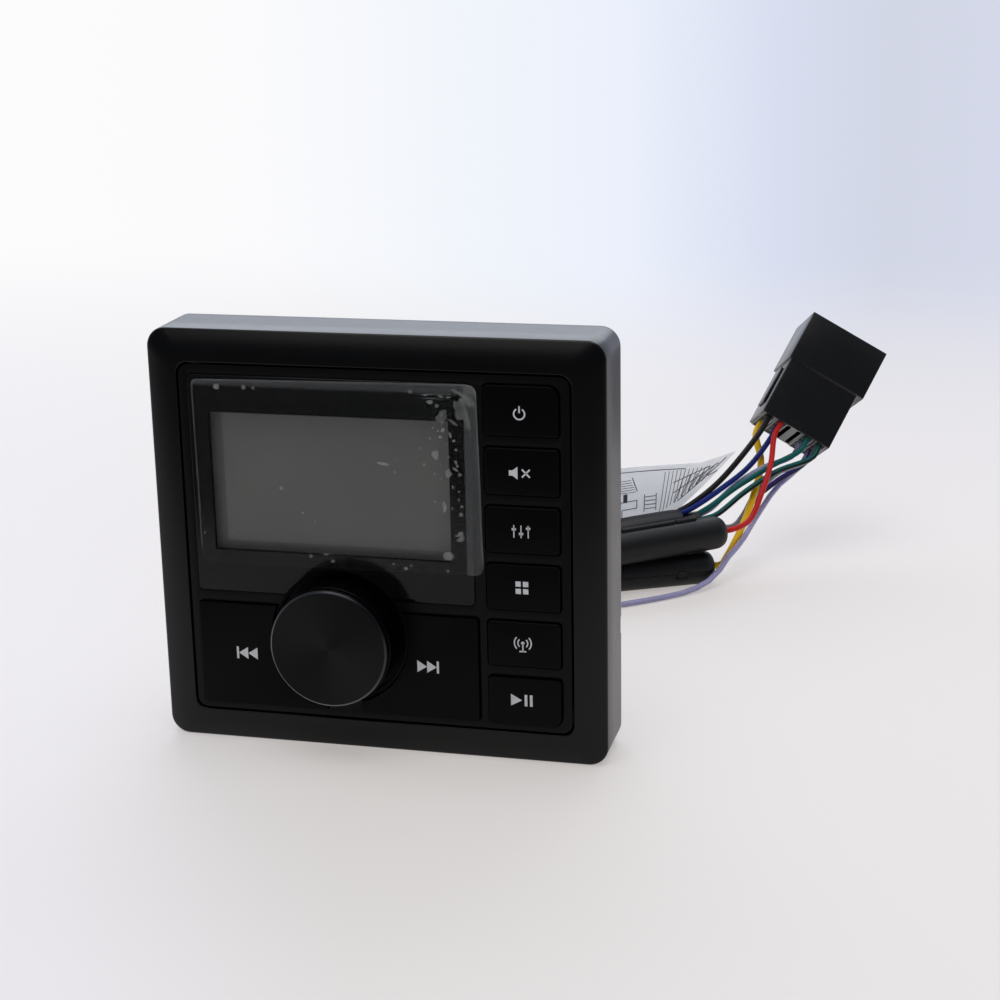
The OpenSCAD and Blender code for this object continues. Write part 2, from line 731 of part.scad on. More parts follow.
module knob_cap() color("#2c2d31") on_panel() translate([knob_x, knob_z, 0]) rotate_extrude() polygon([
  [0, cap_back], [cap_r, cap_back], [cap_r, knob_reach - cap_bevel],
  [cap_r - cap_bevel, knob_reach], [0, knob_reach]
]);

module encoder_shaft() color("#b9bcc0") on_panel() {
  rod([knob_x, knob_z], shaft_r, [-shaft_end, shaft_front]);
  rod([knob_x, knob_z], collar_r, [-collar_depth[1], -collar_depth[0]]);
}

module encoder_plunger() color("#d8d4c4") on_panel()
  rod([knob_x, knob_z], chamber_r - plunger_gap, [-shaft_end - plunger_t, -shaft_end]);

module encoder_body() color("#6b7f77") on_panel() difference() {
  union() {
    block(
      [knob_x - encoder_w / 2, knob_x + encoder_w / 2],
      [knob_z - encoder_w / 2, knob_z + encoder_w / 2],
      [-board_depth, -encoder_front]
    );
    rod([knob_x, knob_z], bushing_r, [-encoder_front - eps, bushing_front]);
  }
  rod([knob_x, knob_z], shaft_r + shaft_gap, [-chamber_front - 1, bushing_front + 1]);
  rod([knob_x, knob_z], chamber_r, [-chamber_back, -chamber_front]);
}

module encoder_nut() color("#c9cbce") on_panel() difference() {
  translate([knob_x, knob_z, -well_floor]) cylinder(r = nut_r, h = nut_t, $fn = 6);
  rod([knob_x, knob_z], bushing_r + shaft_gap, [-well_floor - 1, nut_t]);
}

module key_seal() color("#3a3a3e") on_panel() difference() {
  translate([0, 0, -seal_depth[1]]) linear_extrude(seal_depth[1] - seal_depth[0]) {
    slab([column_x[0] - 1.6, inner_x[1]], inner_y);
    slab([inner_x[0], column_x[0] - 1.5], [inner_y[0], big_key_y[1] + 1.9]);
  }
  rod([knob_x, knob_z], well_r + well_wall + 0.3, [-seal_depth[1] - 1, 0]);
  for (at = stem_spots) rod(at, seal_hole_r, [-seal_depth[1] - 1, 0]);
}

module key_board() color("#2f5a3c") on_panel() difference() {
  block(board_x, board_y, [-board_depth - board_t, -board_depth]);
  for (at = board_posts) rod(at, screw_hole_r, [-board_depth - board_t - 1, 0]);
}

module tactile_switches() color("#3c3d42") on_panel() for (at = stem_spots) difference() {
  block(
    [at[0] - switch_w / 2, at[0] + switch_w / 2],
    [at[1] - switch_w / 2, at[1] + switch_w / 2],
    [-board_depth, switch_t - board_depth]
  );
  rod(at, stem_r + switch_gap, [switch_t - switch_bore - board_depth, 0]);
}

module key_board_screws() color("#a9acb0") on_panel() for (at = board_posts)
  translate([0, 0, -board_depth - board_t]) mirror([0, 0, 1])
    screw(at, 0, head_r, head_t, screw_r, screw_grip);

module board_connector() color("#d9d4c2") on_panel()
  block(link_x, link_y, [-main_depth, -board_depth - board_t]);

module main_board() color("#2f5a3c") on_panel() difference() {
  block(main_x, main_y, [-main_back, -main_depth]);
  for (at = main_posts) rod(at, screw_hole_r, [-main_back - 1, 0]);
}

module main_board_screws() color("#a9acb0") on_panel() for (at = main_posts)
  screw(at, -main_depth, head_r, head_t, screw_r, screw_grip);

module capacitors() color("#2b3550") on_panel() for (at = capacitor_spots)
  rod(at, capacitor_r, [-main_back - capacitor_len, -main_back]);

module amplifier_chip() color("#2a2a2d") on_panel() {
  block(chip_x, chip_y, [-inside_back, chip_t - inside_back]);
  block(grow(chip_x, -1.5), [chip_y[0], chip_y[0] + 1], [chip_t - inside_back - eps, -main_back]);
}

module rear_housing() color("#202125") on_panel() difference() {
  union() {
    block(rear_x, rear_y, [-rear_depth, -flange_back], 2);
    block(
      grow(inner_x, -case_lip_gap),
      grow(inner_y, -case_lip_gap),
      [-flange_back, case_lip_t - flange_back],
      1
    );
  }
  difference() {
    block(cavity_x, cavity_y, [-inside_back, 0]);
    for (at = main_posts) rod(at, post_r, [-inside_back - 1, -main_back]);
    for (y = sink_screw_y) rod([middle_of(sink_x), y], post_r, [-inside_back - 1, 4 - inside_back]);
  }
  for (at = main_posts) rod(at, pilot_r, [-inside_back, 0]);
  for (y = sink_screw_y) rod([middle_of(sink_x), y], case_pilot_r, [-rear_depth - 1, 0]);
  for (at = case_spots) rod(at, case_hole_r, [-flange_back - 1, 0]);
  block(grow(pad_x, pad_gap), grow(pad_y, pad_gap), [-rear_depth - 1, 1 - inside_back]);
  rod(antenna_spot, antenna_r + socket_gap, [-rear_depth - 1, 1 - inside_back]);
  for (at = line_spots) rod(at, line_r + socket_gap, [-rear_depth - 1, 1 - inside_back]);
  block(grow(grommet_x, 0.1), grow(grommet_y, 0.1), [-rear_depth - 1, 1 - inside_back], 3);
}

module case_screws() color("#a9acb0") on_panel() for (at = case_spots)
  translate([0, 0, -flange_back]) mirror([0, 0, 1])
    screw(at, 0, case_head_r, case_head_t, case_screw_r, flange_back - case_post_front - 1.5);

module heat_sink() color("#9a9da1") on_panel() {
  difference() {
    block(sink_x, sink_y, [-rear_depth - sink_t, -rear_depth]);
    for (y = sink_screw_y) rod([middle_of(sink_x), y], case_hole_r, [-rear_depth - sink_t - 1, 0]);
  }
  block(pad_x, pad_y, [-rear_depth - eps, -inside_back]);
  pitch = (sink_x[1] - sink_x[0] - fin_t) / (fin_count - 1);
  for (i = [0:fin_count - 1])
    translate([sink_x[0] + i * pitch, fin_y[0], -rear_depth - rear_reach])
      cube([fin_t, fin_y[1] - fin_y[0], rear_reach - sink_t + eps]);
}

module heat_sink_screws() color("#a9acb0") on_panel() for (y = sink_screw_y)
  translate([0, 0, -rear_depth - sink_t]) mirror([0, 0, 1])
    screw([middle_of(sink_x), y], 0, case_head_r, head_t, case_screw_r, sink_t + wall_t + 3);

module antenna_socket() color("#c2c4c8") on_panel() difference() {
  union() {
    rod(antenna_spot, antenna_r, [-rear_depth - rear_reach, -inside_back + eps]);
    block(
      [antenna_spot[0] - antenna_block / 2, antenna_spot[0] + antenna_block / 2],
      [antenna_spot[1] - antenna_block / 2, antenna_spot[1] + antenna_block / 2],
      [-inside_back, -main_back]
    );
  }
  rod(antenna_spot, antenna_bore_r, [-rear_depth - rear_reach - 1, -inside_back - bore_floor]);
}

module line_out_block() color("#1c1d20") on_panel()
  block(line_block_x, line_block_y, [-inside_back, -main_back]);

module line_out_sockets() color("#c2c4c8") on_panel() for (at = line_spots) difference() {
  rod(at, line_r, [-rear_depth - rear_reach, -inside_back]);
  rod(at, line_bore_r, [-rear_depth - rear_reach - 1, -inside_back - bore_floor]);
}

module harness_header() color("#e6e2d6") on_panel()
  block(grow(grommet_x, -1), grow(grommet_y, -1), [-header_depth, -main_back]);

module harness_grommet() color("#17181b") on_panel() {
  flange_z = [-rear_depth - grommet_flange_t, -rear_depth];
  block(grow(grommet_x, grommet_flange), grow(grommet_y, grommet_flange), flange_z, 3);
  block(grommet_x, grommet_y, [-rear_depth - eps, -inside_back], 3);
  block(grow(grommet_x, -1), grow(grommet_y, -1), [-inside_back - eps, -header_depth], 2);
}

module harness_sleeve() color("#1a1a1d") tube(sleeve_route, sleeve_r);

module speaker_sleeve() color("#1f1f22") tube([sleeve_end, inner_end], inner_sleeve_r);

// Put a fuse holder's pieces in place: along x, with the split between its halves at z = 0
module at_lower() translate(lower_at) rotate([0, 0, lower_turn]) children();
module at_upper() translate(upper_at) rotate([0, -upper_tilt, upper_turn]) rotate([90, 0, 0]) children();

// Whole fuse holder, hollow for the fuse, with a bore for the wire at each tip
module holder_shape() difference() {
  rotate([0, 90, 0]) rotate_extrude() polygon([
    [0, -holder_len / 2], [holder_tip_r, -holder_len / 2], [holder_r, holder_cone - holder_len / 2],
    [holder_r, holder_len / 2 - holder_cone], [holder_tip_r, holder_len / 2], [0, holder_len / 2]
  ]);
  rotate([0, 90, 0]) cylinder(r = channel_r, h = channel_len, center = true);
}

// Round bar on the hinge between a fuse holder's halves
module hinge_bar(x, r) translate([x[0], holder_r + hinge_out, 0]) rotate([0, 90, 0])
  cylinder(r = r, h = x[1] - x[0], $fn = 24);

// Hinge knuckles of one half: one in the middle of the shell, two on the lid
module knuckles(side, r) {
  if (side < 0) hinge_bar(shell_knuckle, r);
  if (side > 0) for (turn = [0, 1]) mirror([turn, 0, 0]) hinge_bar(lid_knuckle, r);
}

// Half of a fuse holder: 1 is the lid and -1 the shell. It makes room for the other's knuckles.
module holder_half(side) color("#1c1d20") {
  difference() {
    intersection() {
      holder_shape();
      translate([0, 0, side * holder_r])
        cube([holder_len + 2, 2 * holder_r + 2, 2 * holder_r], center = true);
    }
    knuckles(-side, hinge_r + hinge_clearance);
  }
  knuckles(side, hinge_r);
}

module fuse() {
  rotate([0, 90, 0]) cylinder(r = fuse_glass_r, h = fuse_len, center = true);
  for (side = [-1, 1]) translate([side * (fuse_len / 2 - 3), 0, 0])
    rotate([0, 90, 0]) cylinder(r = fuse_r, h = 6, center = true);
}

// Two clips that grip the fuse's caps, open at the top, each with a stop behind the cap
module clip_pair() for (side = [-1, 1]) translate([side * (fuse_len / 2 - clip_len / 2), 0, 0]) {
  difference() {
    rotate([0, 90, 0]) cylinder(r = fuse_r + clip_t, h = clip_len, center = true);
    rotate([0, 90, 0]) cylinder(r = fuse_r, h = clip_len + 1, center = true);
    translate([0, 0, fuse_r]) cube([clip_len + 1, 3, 4], center = true);
  }
  translate([side * (clip_len / 2 + 1), 0, 0])
    rotate([0, 90, 0]) cylinder(r = fuse_r + clip_t, h = 2, center = true);
}

module fuse_holder_lower() at_lower() holder_half(-1);
module fuse_lid_lower() at_lower() holder_half(1);
module fuse_holder_upper() at_upper() holder_half(-1);
module fuse_lid_upper() at_upper() holder_half(1);

module fuses() color("#cfd6d8") {
  at_lower() fuse();
  at_upper() fuse();
}

module fuse_clips() color("#c8b273") {
  at_lower() clip_pair();
  at_upper() clip_pair();
}

module at_connector() translate(conn_at) rotate(conn_turn) children();

module connector_housing() color("#202124") at_connector() difference() {
  union() {
    translate([0, 0, -shroud_h]) cube([conn_w, shroud_len, shroud_h]);
    translate([block_x[0], -block_len, block_z[0]])
      cube([block_x[1] - block_x[0], block_len + eps, block_z[1] - block_z[0]]);
  }
  for (x = socket_x) translate([x[0], shroud_floor, -shroud_h + shroud_wall])
    cube([x[1] - x[0], shroud_len, shroud_h - 2 * shroud_wall]);
  for (u = slot_u) translate([u[0], -block_len - 1, block_z[0] + slot_wall])
    cube([u[1] - u[0], slot_depth + 1, block_z[1] - block_z[0] - 2 * slot_wall]);
}

module connector_pins() color("#c9b169") at_connector() for (u = column_u, w = row_w)
  translate([u - pin_size[0] / 2, shroud_floor, w - pin_size[1] / 2])
    cube([pin_size[0], pin_end - shroud_floor, pin_size[1]]);

module connector_latch() color("#26272a") at_connector()
  translate([block_x[0] - latch_size[0], latch_at[0], latch_at[1]]) cube(latch_size);

module wiring_tag() color("#f2f1ea") translate(tag_at) rotate([90, 0, tag_turn])
  linear_extrude(tag_t, center = true) polygon(tag_points);

module yellow_wires() color("#e8b80c") {
  tube(yellow_route, power_r);
  tube(yellow_lead, power_r);
}

module red_wires() color("#d8201c") {
  tube(red_route, wire_r);
  tube(red_lead, power_r);
}

module black_wire() color("#2a2622") tube(black_route, wire_r);
module navy_wire() color("#273a80") tube(navy_route, wire_r);

module teal_wires() color("#0c6a62") {
  tube(teal_route, wire_r);
  tube(second_teal_route, wire_r);
}

module lavender_wires() color("#b9b4dc") {
  tube(lavender_route, wire_r);
  tube(loose_lavender_route, wire_r);
}

module grey_wire() color("#9a9aa0") tube(grey_route, wire_r);
module violet_wire() color("#4a3a86") tube(violet_route, wire_r);

trim_ring();
front_housing();
mounting_gasket();
display_lens();
protective_film();
lcd_panel();
lcd_backlight();
lcd_frame();
knob();
knob_cap();
encoder_shaft();
encoder_plunger();
encoder_body();
encoder_nut();
small_key(5);  // key_power
small_key(4);  // key_mute
small_key(3);  // key_tone
small_key(2);  // key_mode
small_key(1);  // key_band
small_key(0);  // key_play
big_key(previous_x, big_stem(previous_x, -1));  // key_previous
big_key(next_x, big_stem(next_x, 1));  // key_next
key_seal();
key_board();
tactile_switches();
key_board_screws();
board_connector();
main_board();
main_board_screws();
capacitors();
amplifier_chip();
rear_housing();
case_screws();
heat_sink();
heat_sink_screws();
antenna_socket();
line_out_block();
line_out_sockets();
harness_header();
harness_grommet();
harness_sleeve();
speaker_sleeve();
fuse_holder_lower();
fuse_lid_lower();
fuse_holder_upper();
fuse_lid_upper();
fuses();
fuse_clips();
connector_housing();
connector_pins();
connector_latch();
wiring_tag();
yellow_wires();
red_wires();
black_wire();
navy_wire();
teal_wires();
lavender_wires();
grey_wire();
violet_wire();
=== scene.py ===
"""Looks of a flush-mount marine stereo with its harness, in metres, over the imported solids.

X is to the right of the face, Y goes away from the viewer and Z is up. Shapes are drawn in
millimetres, those of the face through panel().
"""
from itertools import accumulate
from math import cos, exp, hypot, pi, radians, sin

import bmesh
import bpy
import numpy as np
from mathutils import Matrix, Vector, noise


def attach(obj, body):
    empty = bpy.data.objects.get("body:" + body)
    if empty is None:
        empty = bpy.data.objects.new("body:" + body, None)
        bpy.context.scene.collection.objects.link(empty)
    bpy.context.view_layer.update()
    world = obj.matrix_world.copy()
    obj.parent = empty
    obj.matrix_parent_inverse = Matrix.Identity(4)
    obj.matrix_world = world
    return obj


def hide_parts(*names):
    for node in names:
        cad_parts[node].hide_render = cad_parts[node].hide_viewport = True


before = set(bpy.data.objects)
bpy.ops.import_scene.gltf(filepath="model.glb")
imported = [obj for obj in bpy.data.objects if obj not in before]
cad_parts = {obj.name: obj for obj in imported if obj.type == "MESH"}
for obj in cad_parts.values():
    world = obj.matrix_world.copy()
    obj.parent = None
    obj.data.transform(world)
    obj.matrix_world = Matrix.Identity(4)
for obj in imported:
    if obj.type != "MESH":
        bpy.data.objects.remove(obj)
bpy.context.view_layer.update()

MM = 0.001
STEREO = "stereo"  # the body that all fixed pieces belong to
FACE_Y = -19.8  # plane of the trim ring's outer front edge
RING_W, RING_H = 130.8, 121.4
LIFT = 0.4  # how far the face's drawing stands above the table
KNOB_X, KNOB_Z = -11.2, 34
KEY_FRONT, LENS_FRONT = 2.4, 1.9


def linked(name, data):
    obj = bpy.data.objects.new(name, data)
    bpy.context.scene.collection.objects.link(obj)
    return obj


def turning(z, y, x):
    """Turned by degrees about X, then Y, then Z."""
    about = ((z, "Z"), (y, "Y"), (x, "X"))
    first, second, third = (Matrix.Rotation(radians(turn), 3, axis) for turn, axis in about)
    return first @ second @ third


# Camera, at the photograph's place: turned to the left, tilted down and rolled a little
TURN, TILT, ROLL = 14.13, 16.23, -1.1
camera = linked("camera", bpy.data.cameras.new("camera"))
camera.data.sensor_width, camera.data.lens, camera.data.clip_start = 36, 73.12, 0.01
turn_to = (turning(TURN, 0, 90 - TILT) @ turning(ROLL, 0, 0)).to_4x4()
camera.matrix_world = Matrix.Translation((0.1655, -0.5355, 0.2312)) @ turn_to
bpy.context.scene.camera = camera


# Finishes: each is a Principled shader whose patterns read object coordinates or the piece's own map

def maths(operation, turned_round=False):
    """An operator that adds a Math node, with its two values turned round for the reflected forms."""
    def calculated(self, other):
        first, second = (other, self) if turned_round else (self, other)
        return self.nodes.node("ShaderNodeMath", {0: first, 1: second}, operation=operation)
    return calculated


class Tone:
    """A number, colour or shape inside a tree of nodes."""

    __add__ = __radd__ = maths("ADD")
    __sub__, __rsub__ = maths("SUBTRACT"), maths("SUBTRACT", True)
    __mul__ = __rmul__ = maths("MULTIPLY")
    __truediv__, __pow__ = maths("DIVIDE"), maths("POWER")
    least, most = maths("MINIMUM"), maths("MAXIMUM")

    def __init__(self, nodes, socket):
        self.nodes, self.socket = nodes, socket

    def rising(self, low, high):
        """0 below low, 1 above high, smooth between them; falls where low is above high."""
        if low > high:
            return 1 - self.rising(high, low)
        ends = {"Value": self, "From Min": low, "From Max": high}
        return self.nodes.node("ShaderNodeMapRange", ends, interpolation_type="SMOOTHSTEP")

    def between(self, low, high, soft):
        return self.rising(low - soft, low + soft) * self.rising(high + soft, high - soft)


class Nodes:
    """A tree of nodes. An input takes a value, a Tone, or a list of Tones."""

    def __init__(self, tree):
        self.tree = tree

    def put(self, socket, value):
        if isinstance(value, list):
            for one in value:
                self.put(socket, one)
        elif isinstance(value, Tone):
            self.tree.links.new(value.socket, socket)
        elif isinstance(value, tuple):
            socket.default_value = (*value, 1.0)[:len(socket.default_value)]
        else:
            socket.default_value = value

    def node(self, kind, inputs=None, output=0, stops=(), **settings):
        made = self.tree.nodes.new(kind)
        for k, (place, colour) in enumerate(stops):
            ramp = made.color_ramp.elements
            stop = ramp[k] if k < len(ramp) else ramp.new(1)
            stop.position, stop.color = place, (*colour, 1)
        for name, value in settings.items():
            setattr(made, name, value)
        for name, value in (inputs or {}).items():
            self.put(made.inputs[name], value)
        return Tone(self, made.outputs[output])

    def parts(self, vector):
        made = self.node("ShaderNodeSeparateXYZ", {0: vector})
        return [Tone(self, one) for one in made.socket.node.outputs]


class Paint(Nodes):
    """A material with one Principled shader."""

    def __init__(self, name, **constants):
        self.material = bpy.data.materials.new(name)
        self.material.use_nodes = True
        super().__init__(self.material.node_tree)
        self.shader = self.tree.nodes["Principled BSDF"]
        for socket, value in constants.items():
            self.feed(socket.replace("_", " ").title().replace("Ior", "IOR"), value)

    def feed(self, socket, value):
        self.put(self.shader.inputs[socket], value)

    def place(self, kind="Object"):
        return self.node("ShaderNodeTexCoord", output=kind)

    def speckle(self, size, detail=2.0, stretch=None):
        """Noise from 0 to 1 whose lumps are about size metres wide."""
        where = self.place()
        if stretch:
            where = self.node("ShaderNodeMapping", {"Vector": where, "Scale": stretch})
        return self.node("ShaderNodeTexNoise", {"Vector": where, "Scale": 1 / size, "Detail": detail})

    def mix(self, factor, first, second):
        return self.node("ShaderNodeMix", {0: factor, 6: first, 7: second}, 2, data_type="RGBA")

    def inside(self, across, up, soft):
        """1 inside a rectangle of the face, given in metres, and 0 outside."""
        x, _, z = self.parts(self.place())
        return x.between(*across, soft) * z.between(*up, soft)

    def relief(self, height, depth):
        self.feed("Normal", self.node("ShaderNodeBump", {"Height": height, "Distance": depth}))


def shade(colour, factor):
    return tuple(c * factor for c in colour)


def moulded(name, colour, roughness, grain=0.3, depth=0.01, smudge=0.06, specular=0.5, **constants):
    """Moulded plastic or rubber: mottling, faint handling marks, and grain in millimetres."""
    paint = Paint(name, specular_ior_level=specular, **constants)
    cloud = paint.speckle(0.018, 3)
    marks = paint.speckle(0.006, 4, stretch=(1, 1, 0.45))
    fine = paint.speckle(grain * MM, 1)
    paint.feed("Base Color", paint.mix(cloud, shade(colour, 0.9), shade(colour, 1.12)))
    paint.feed("Roughness", roughness + (marks - 0.5) * smudge + (fine - 0.5) * 0.05)
    paint.relief(fine, depth * MM)
    return paint.material


def metal(name, colour, roughness, stretch=(1, 1, 1)):
    """Plated or drawn metal, with fine lines along the short side of stretch."""
    paint = Paint(name, metallic=1.0)
    lines = paint.speckle(0.0006, 3, stretch=stretch)
    cloud = paint.speckle(0.008, 2)
    paint.feed("Base Color", paint.mix(cloud, shade(colour, 0.88), shade(colour, 1.06)))
    paint.feed("Roughness", roughness + (lines - 0.5) * 0.16)
    paint.relief(lines, 0.000008)
    return paint.material


def insulation(name, colour, stripe=None):
    """Soft vinyl round a wire, with a tracer stripe along it where the wire has one."""
    paint = Paint(name, specular_ior_level=0.18)
    around, _, _ = paint.parts(paint.place("UV"))
    wavy = paint.speckle(0.002, 2)
    body = paint.mix(wavy, shade(colour, 0.86), shade(colour, 1.1))
    if stripe:
        body = paint.mix(around.between(0.42, 0.58, 0.02), body, stripe)
    paint.feed("Base Color", body)
    paint.feed("Roughness", 0.38 + (wavy - 0.5) * 0.12)
    paint.relief(paint.speckle(0.0012, 2), 0.00002)
    return paint.material


def board_finish():
    """Green circuit board: copper tracks under the solder resist, and tinned pads."""
    paint = Paint("circuit_board", coat_weight=0.3, coat_roughness=0.2)
    where = paint.place()
    cells = paint.node("ShaderNodeTexVoronoi", {"Vector": where, "Scale": 420}, distance="MANHATTAN")
    tracks = paint.node("ShaderNodeTexWave", {"Vector": where, "Scale": 160, "Distortion": 6})
    track, pad = tracks.rising(0.62, 0.7), cells.rising(0.12, 0.1)
    green = paint.mix(track, (0.012, 0.07, 0.03), (0.03, 0.14, 0.06))
    paint.feed("Base Color", paint.mix(pad, green, (0.6, 0.58, 0.5)))
    paint.feed("Metallic", pad * 0.9)
    paint.feed("Roughness", 0.45 - pad * 0.15)
    paint.relief(track + pad, 0.00003)
    return paint.material


def spun_metal():
    """Black anodised aluminium, turned on a lathe, with a painted bow-tie highlight on the disc and a painted
    highlight on the lower left of the rim.
    """
    paint = Paint("anodised_cap", metallic=0.85)
    x, _, z = paint.parts(paint.place())
    across, up = x - KNOB_X * MM, z - (KNOB_Z + LIFT) * MM
    reach = (across ** 2 + up ** 2) ** 0.5
    rings = paint.node("ShaderNodeTexNoise", {"W": reach, "Scale": 5200, "Detail": 2}, noise_dimensions="1D")
    # Painted highlight: a bow-tie across the disc, lighter in the upper left and lower right quarters.
    bowtie_highlight = 0.5 - across * up / (reach * reach)
    # Painted highlight: the rim is lighter towards its lower left.
    rim_highlight = 0.5 - (across + up) / (reach * 2.83)
    rim = paint.mix(rim_highlight, (0.02, 0.021, 0.024), (0.15, 0.16, 0.17))
    disc = paint.mix(rings * 0.3 + bowtie_highlight * 0.7, (0.0040, 0.0043, 0.0045), (0.0125, 0.0130, 0.0130))
    paint.feed("Base Color", paint.mix(reach.rising(0.01635, 0.0165), disc, rim))
    paint.feed("Roughness", 0.30 + (rings - 0.5) * 0.12 + (paint.speckle(0.012, 2) - 0.5) * 0.05)
    return paint.material


def lens_finish():
    """Black-backed clear lens with an open window over the display."""
    paint = Paint("display_lens", base_color=(0.0046, 0.0050, 0.0048), specular_ior_level=0.2)
    paint.feed("Roughness", 0.10 + (paint.speckle(0.011, 3) - 0.5) * 0.08)
    paint.feed("Alpha", 1 - paint.inside((-0.0473, 0.0220), (0.0582, 0.0983), 0.00005) * 0.86)
    return paint.material


def display_finish():
    """Liquid-crystal glass: the grey active area, and the duller band at its left and below."""
    paint = Paint("display_glass", specular_ior_level=0.5)
    active = paint.inside((-0.0446, 0.060), (0.0602, 0.12), 0.0001)
    lit = paint.mix(paint.speckle(0.03, 1), (0.228, 0.228, 0.212), (0.268, 0.266, 0.246))
    paint.feed("Base Color", paint.mix(active, (0.185, 0.184, 0.172), lit))
    paint.feed("Roughness", 0.35 + (paint.speckle(0.0004, 1) - 0.5) * 0.1)
    return paint.material


def film_finish():
    """Clear protective film, with a painted reflection where it stands off the lens and along its top, and
    painted highlights on its cut edges.
    """
    paint = Paint("protective_film", base_color=(0.63, 0.65, 0.64), specular_ior_level=0.6)
    edge, _, _ = paint.parts(paint.place("UV"))
    x, _, z = paint.parts(paint.place())
    # Painted reflection past the lens's right edge and in a band along the top, and painted highlights on the
    # cut edges except along the bottom: the pale film is made more opaque there.
    lifted_reflection = x.rising(0.0262, 0.0268)
    band = z.rising(0.1054, 0.1066)
    cut = edge.rising(0.0007, 0.0002) * z.rising(0.0570, 0.0600)
    haze = paint.speckle(0.009, 4, stretch=(1, 1, 0.6))
    paint.feed("Roughness", 0.07 + haze * 0.08)
    paint.feed("Alpha", 0.003 + haze * 0.010 + lifted_reflection * 0.09 + band * 0.08 + cut * 0.09)
    paint.relief(paint.speckle(0.004, 2), 0.00006)
    return paint.material


def paper_finish():
    """Thin paper, which lets the light behind it through."""
    paint = Paint("leaflet_paper", specular_ior_level=0.3, subsurface_weight=0.7,
                  subsurface_radius=(1, 1, 1), subsurface_scale=0.0015)
    fibre = paint.speckle(0.0005, 3)
    paint.feed("Base Color", paint.mix(paint.speckle(0.02, 2), (0.90, 0.89, 0.87), (0.95, 0.94, 0.92)))
    paint.feed("Roughness", 0.7 + (fibre - 0.5) * 0.2)
    paint.relief(fibre, 0.00002)
    return paint.material


FINISH = {
    "ring": moulded("ring_plastic", (0.0013, 0.0014, 0.0015), 0.29, 0.26, 0.006, specular=0.25),
    "plate": moulded("plate_plastic", (0.0022, 0.0024, 0.0025), 0.42, 0.25, 0.014, specular=0.14),
    "key": moulded("key_plastic", (0.0012, 0.0013, 0.0013), 0.40, 0.18, 0.008, specular=0.08),
    "knob": moulded("knob_plastic", (0.0010, 0.0011, 0.0011), 0.32, 0.2, 0.006, specular=0.10),
    "cap": spun_metal(),
    "legend": moulded("printed_legend", (0.72, 0.73, 0.74), 0.5, 0.2, 0.002),
    "lens": lens_finish(),
    "display": display_finish(),
    "film": film_finish(),
    # Pale half-clear blisters and creases: a painted reflection of the air trapped under the film.
    "bubble": moulded("film_bubble", (0.55, 0.57, 0.55), 0.25, 0.4, 0.02, alpha=0.22),
    "crease": moulded("film_crease", (0.55, 0.57, 0.54), 0.25, 0.4, 0.02, alpha=0.12),
    "light_guide": moulded("light_guide", (0.78, 0.80, 0.76), 0.3),
    "steel": metal("zinc_plated_steel", (0.52, 0.53, 0.55), 0.34),
    "shaft": metal("plated_shaft", (0.62, 0.60, 0.54), 0.25, (1, 0.1, 1)),
    "nylon": moulded("natural_nylon", (0.62, 0.58, 0.46), 0.5),
    "encoder": moulded("encoder_plastic", (0.05, 0.10, 0.085), 0.5),
    "seal": moulded("seal_rubber", (0.02, 0.02, 0.022), 0.75, 0.5, 0.03),
    "foam": moulded("gasket_foam", (0.022, 0.022, 0.024), 0.9, 0.6, 0.12),
    "board": board_finish(),
    "switch": moulded("switch_plastic", (0.018, 0.018, 0.02), 0.5),
    "capacitor": moulded("capacitor_sleeve", (0.012, 0.02, 0.07), 0.3, coat_weight=0.4),
    "chip": moulded("chip_plastic", (0.012, 0.012, 0.013), 0.6, 0.4, 0.03),
    "case": moulded("rear_case_plastic", (0.012, 0.0125, 0.014), 0.5, 0.4, 0.03),
    "sink": metal("extruded_aluminium", (0.40, 0.41, 0.43), 0.42, (1, 0.2, 0.06)),
    "socket": metal("nickel_plate", (0.66, 0.65, 0.62), 0.18),
    "grommet": moulded("grommet_rubber", (0.012, 0.012, 0.013), 0.7, 0.5, 0.04),
    "sleeve": moulded("sleeve_vinyl", (0.0105, 0.0105, 0.0125), 0.48, 0.8, 0.08, 0.12),
    "holder": moulded("holder_plastic", (0.0085, 0.0088, 0.0088), 0.46, specular=0.28),
    "glass": moulded("fuse_glass", (0.75, 0.8, 0.8), 0.06, alpha=0.25),
    # Painted shade for the connector's cavities, and a painted reflection on their light grey walls.
    "cavity": moulded("cavity_shadow", (0.004, 0.004, 0.004), 0.7),
    "grid": moulded("connector_grid_painted_reflection", (0.22, 0.22, 0.215), 0.45),
    "spring": metal("tinned_brass", (0.60, 0.48, 0.24), 0.3),
    "connector": moulded("connector_plastic", (0.0062, 0.0064, 0.0064), 0.26, 0.5, 0.02),
    "paper": paper_finish(),
    "ink": moulded("printing_ink", (0.12, 0.12, 0.13), 0.6),
    "red_ring": moulded("red_insulator", (0.45, 0.02, 0.02), 0.45),
    "white_ring": moulded("white_insulator", (0.7, 0.7, 0.66), 0.45),
    "yellow": insulation("yellow_wire", (0.85, 0.50, 0.004)),
    "red": insulation("red_wire", (0.62, 0.018, 0.015)),
    "black": insulation("black_wire", (0.010, 0.008, 0.007)),
    "navy": insulation("navy_wire", (0.008, 0.022, 0.20)),
    "teal": insulation("teal_wire", (0.002, 0.115, 0.105)),
    "teal_striped": insulation("teal_wire_black_stripe", (0.002, 0.115, 0.105), (0.012, 0.01, 0.01)),
    "lavender": insulation("lavender_wire", (0.42, 0.40, 0.62)),
    "grey": insulation("grey_wire", (0.26, 0.26, 0.29)),
    "violet": insulation("violet_wire_black_stripe", (0.05, 0.03, 0.22), (0.01, 0.01, 0.012)),
}


# Shapes: each is its points and its faces

def panel(x, h, t):
    """A point of the face, drawn as seen from the front: x right, h up, t towards the viewer."""
    return Vector((x, FACE_Y - t, h + LIFT))


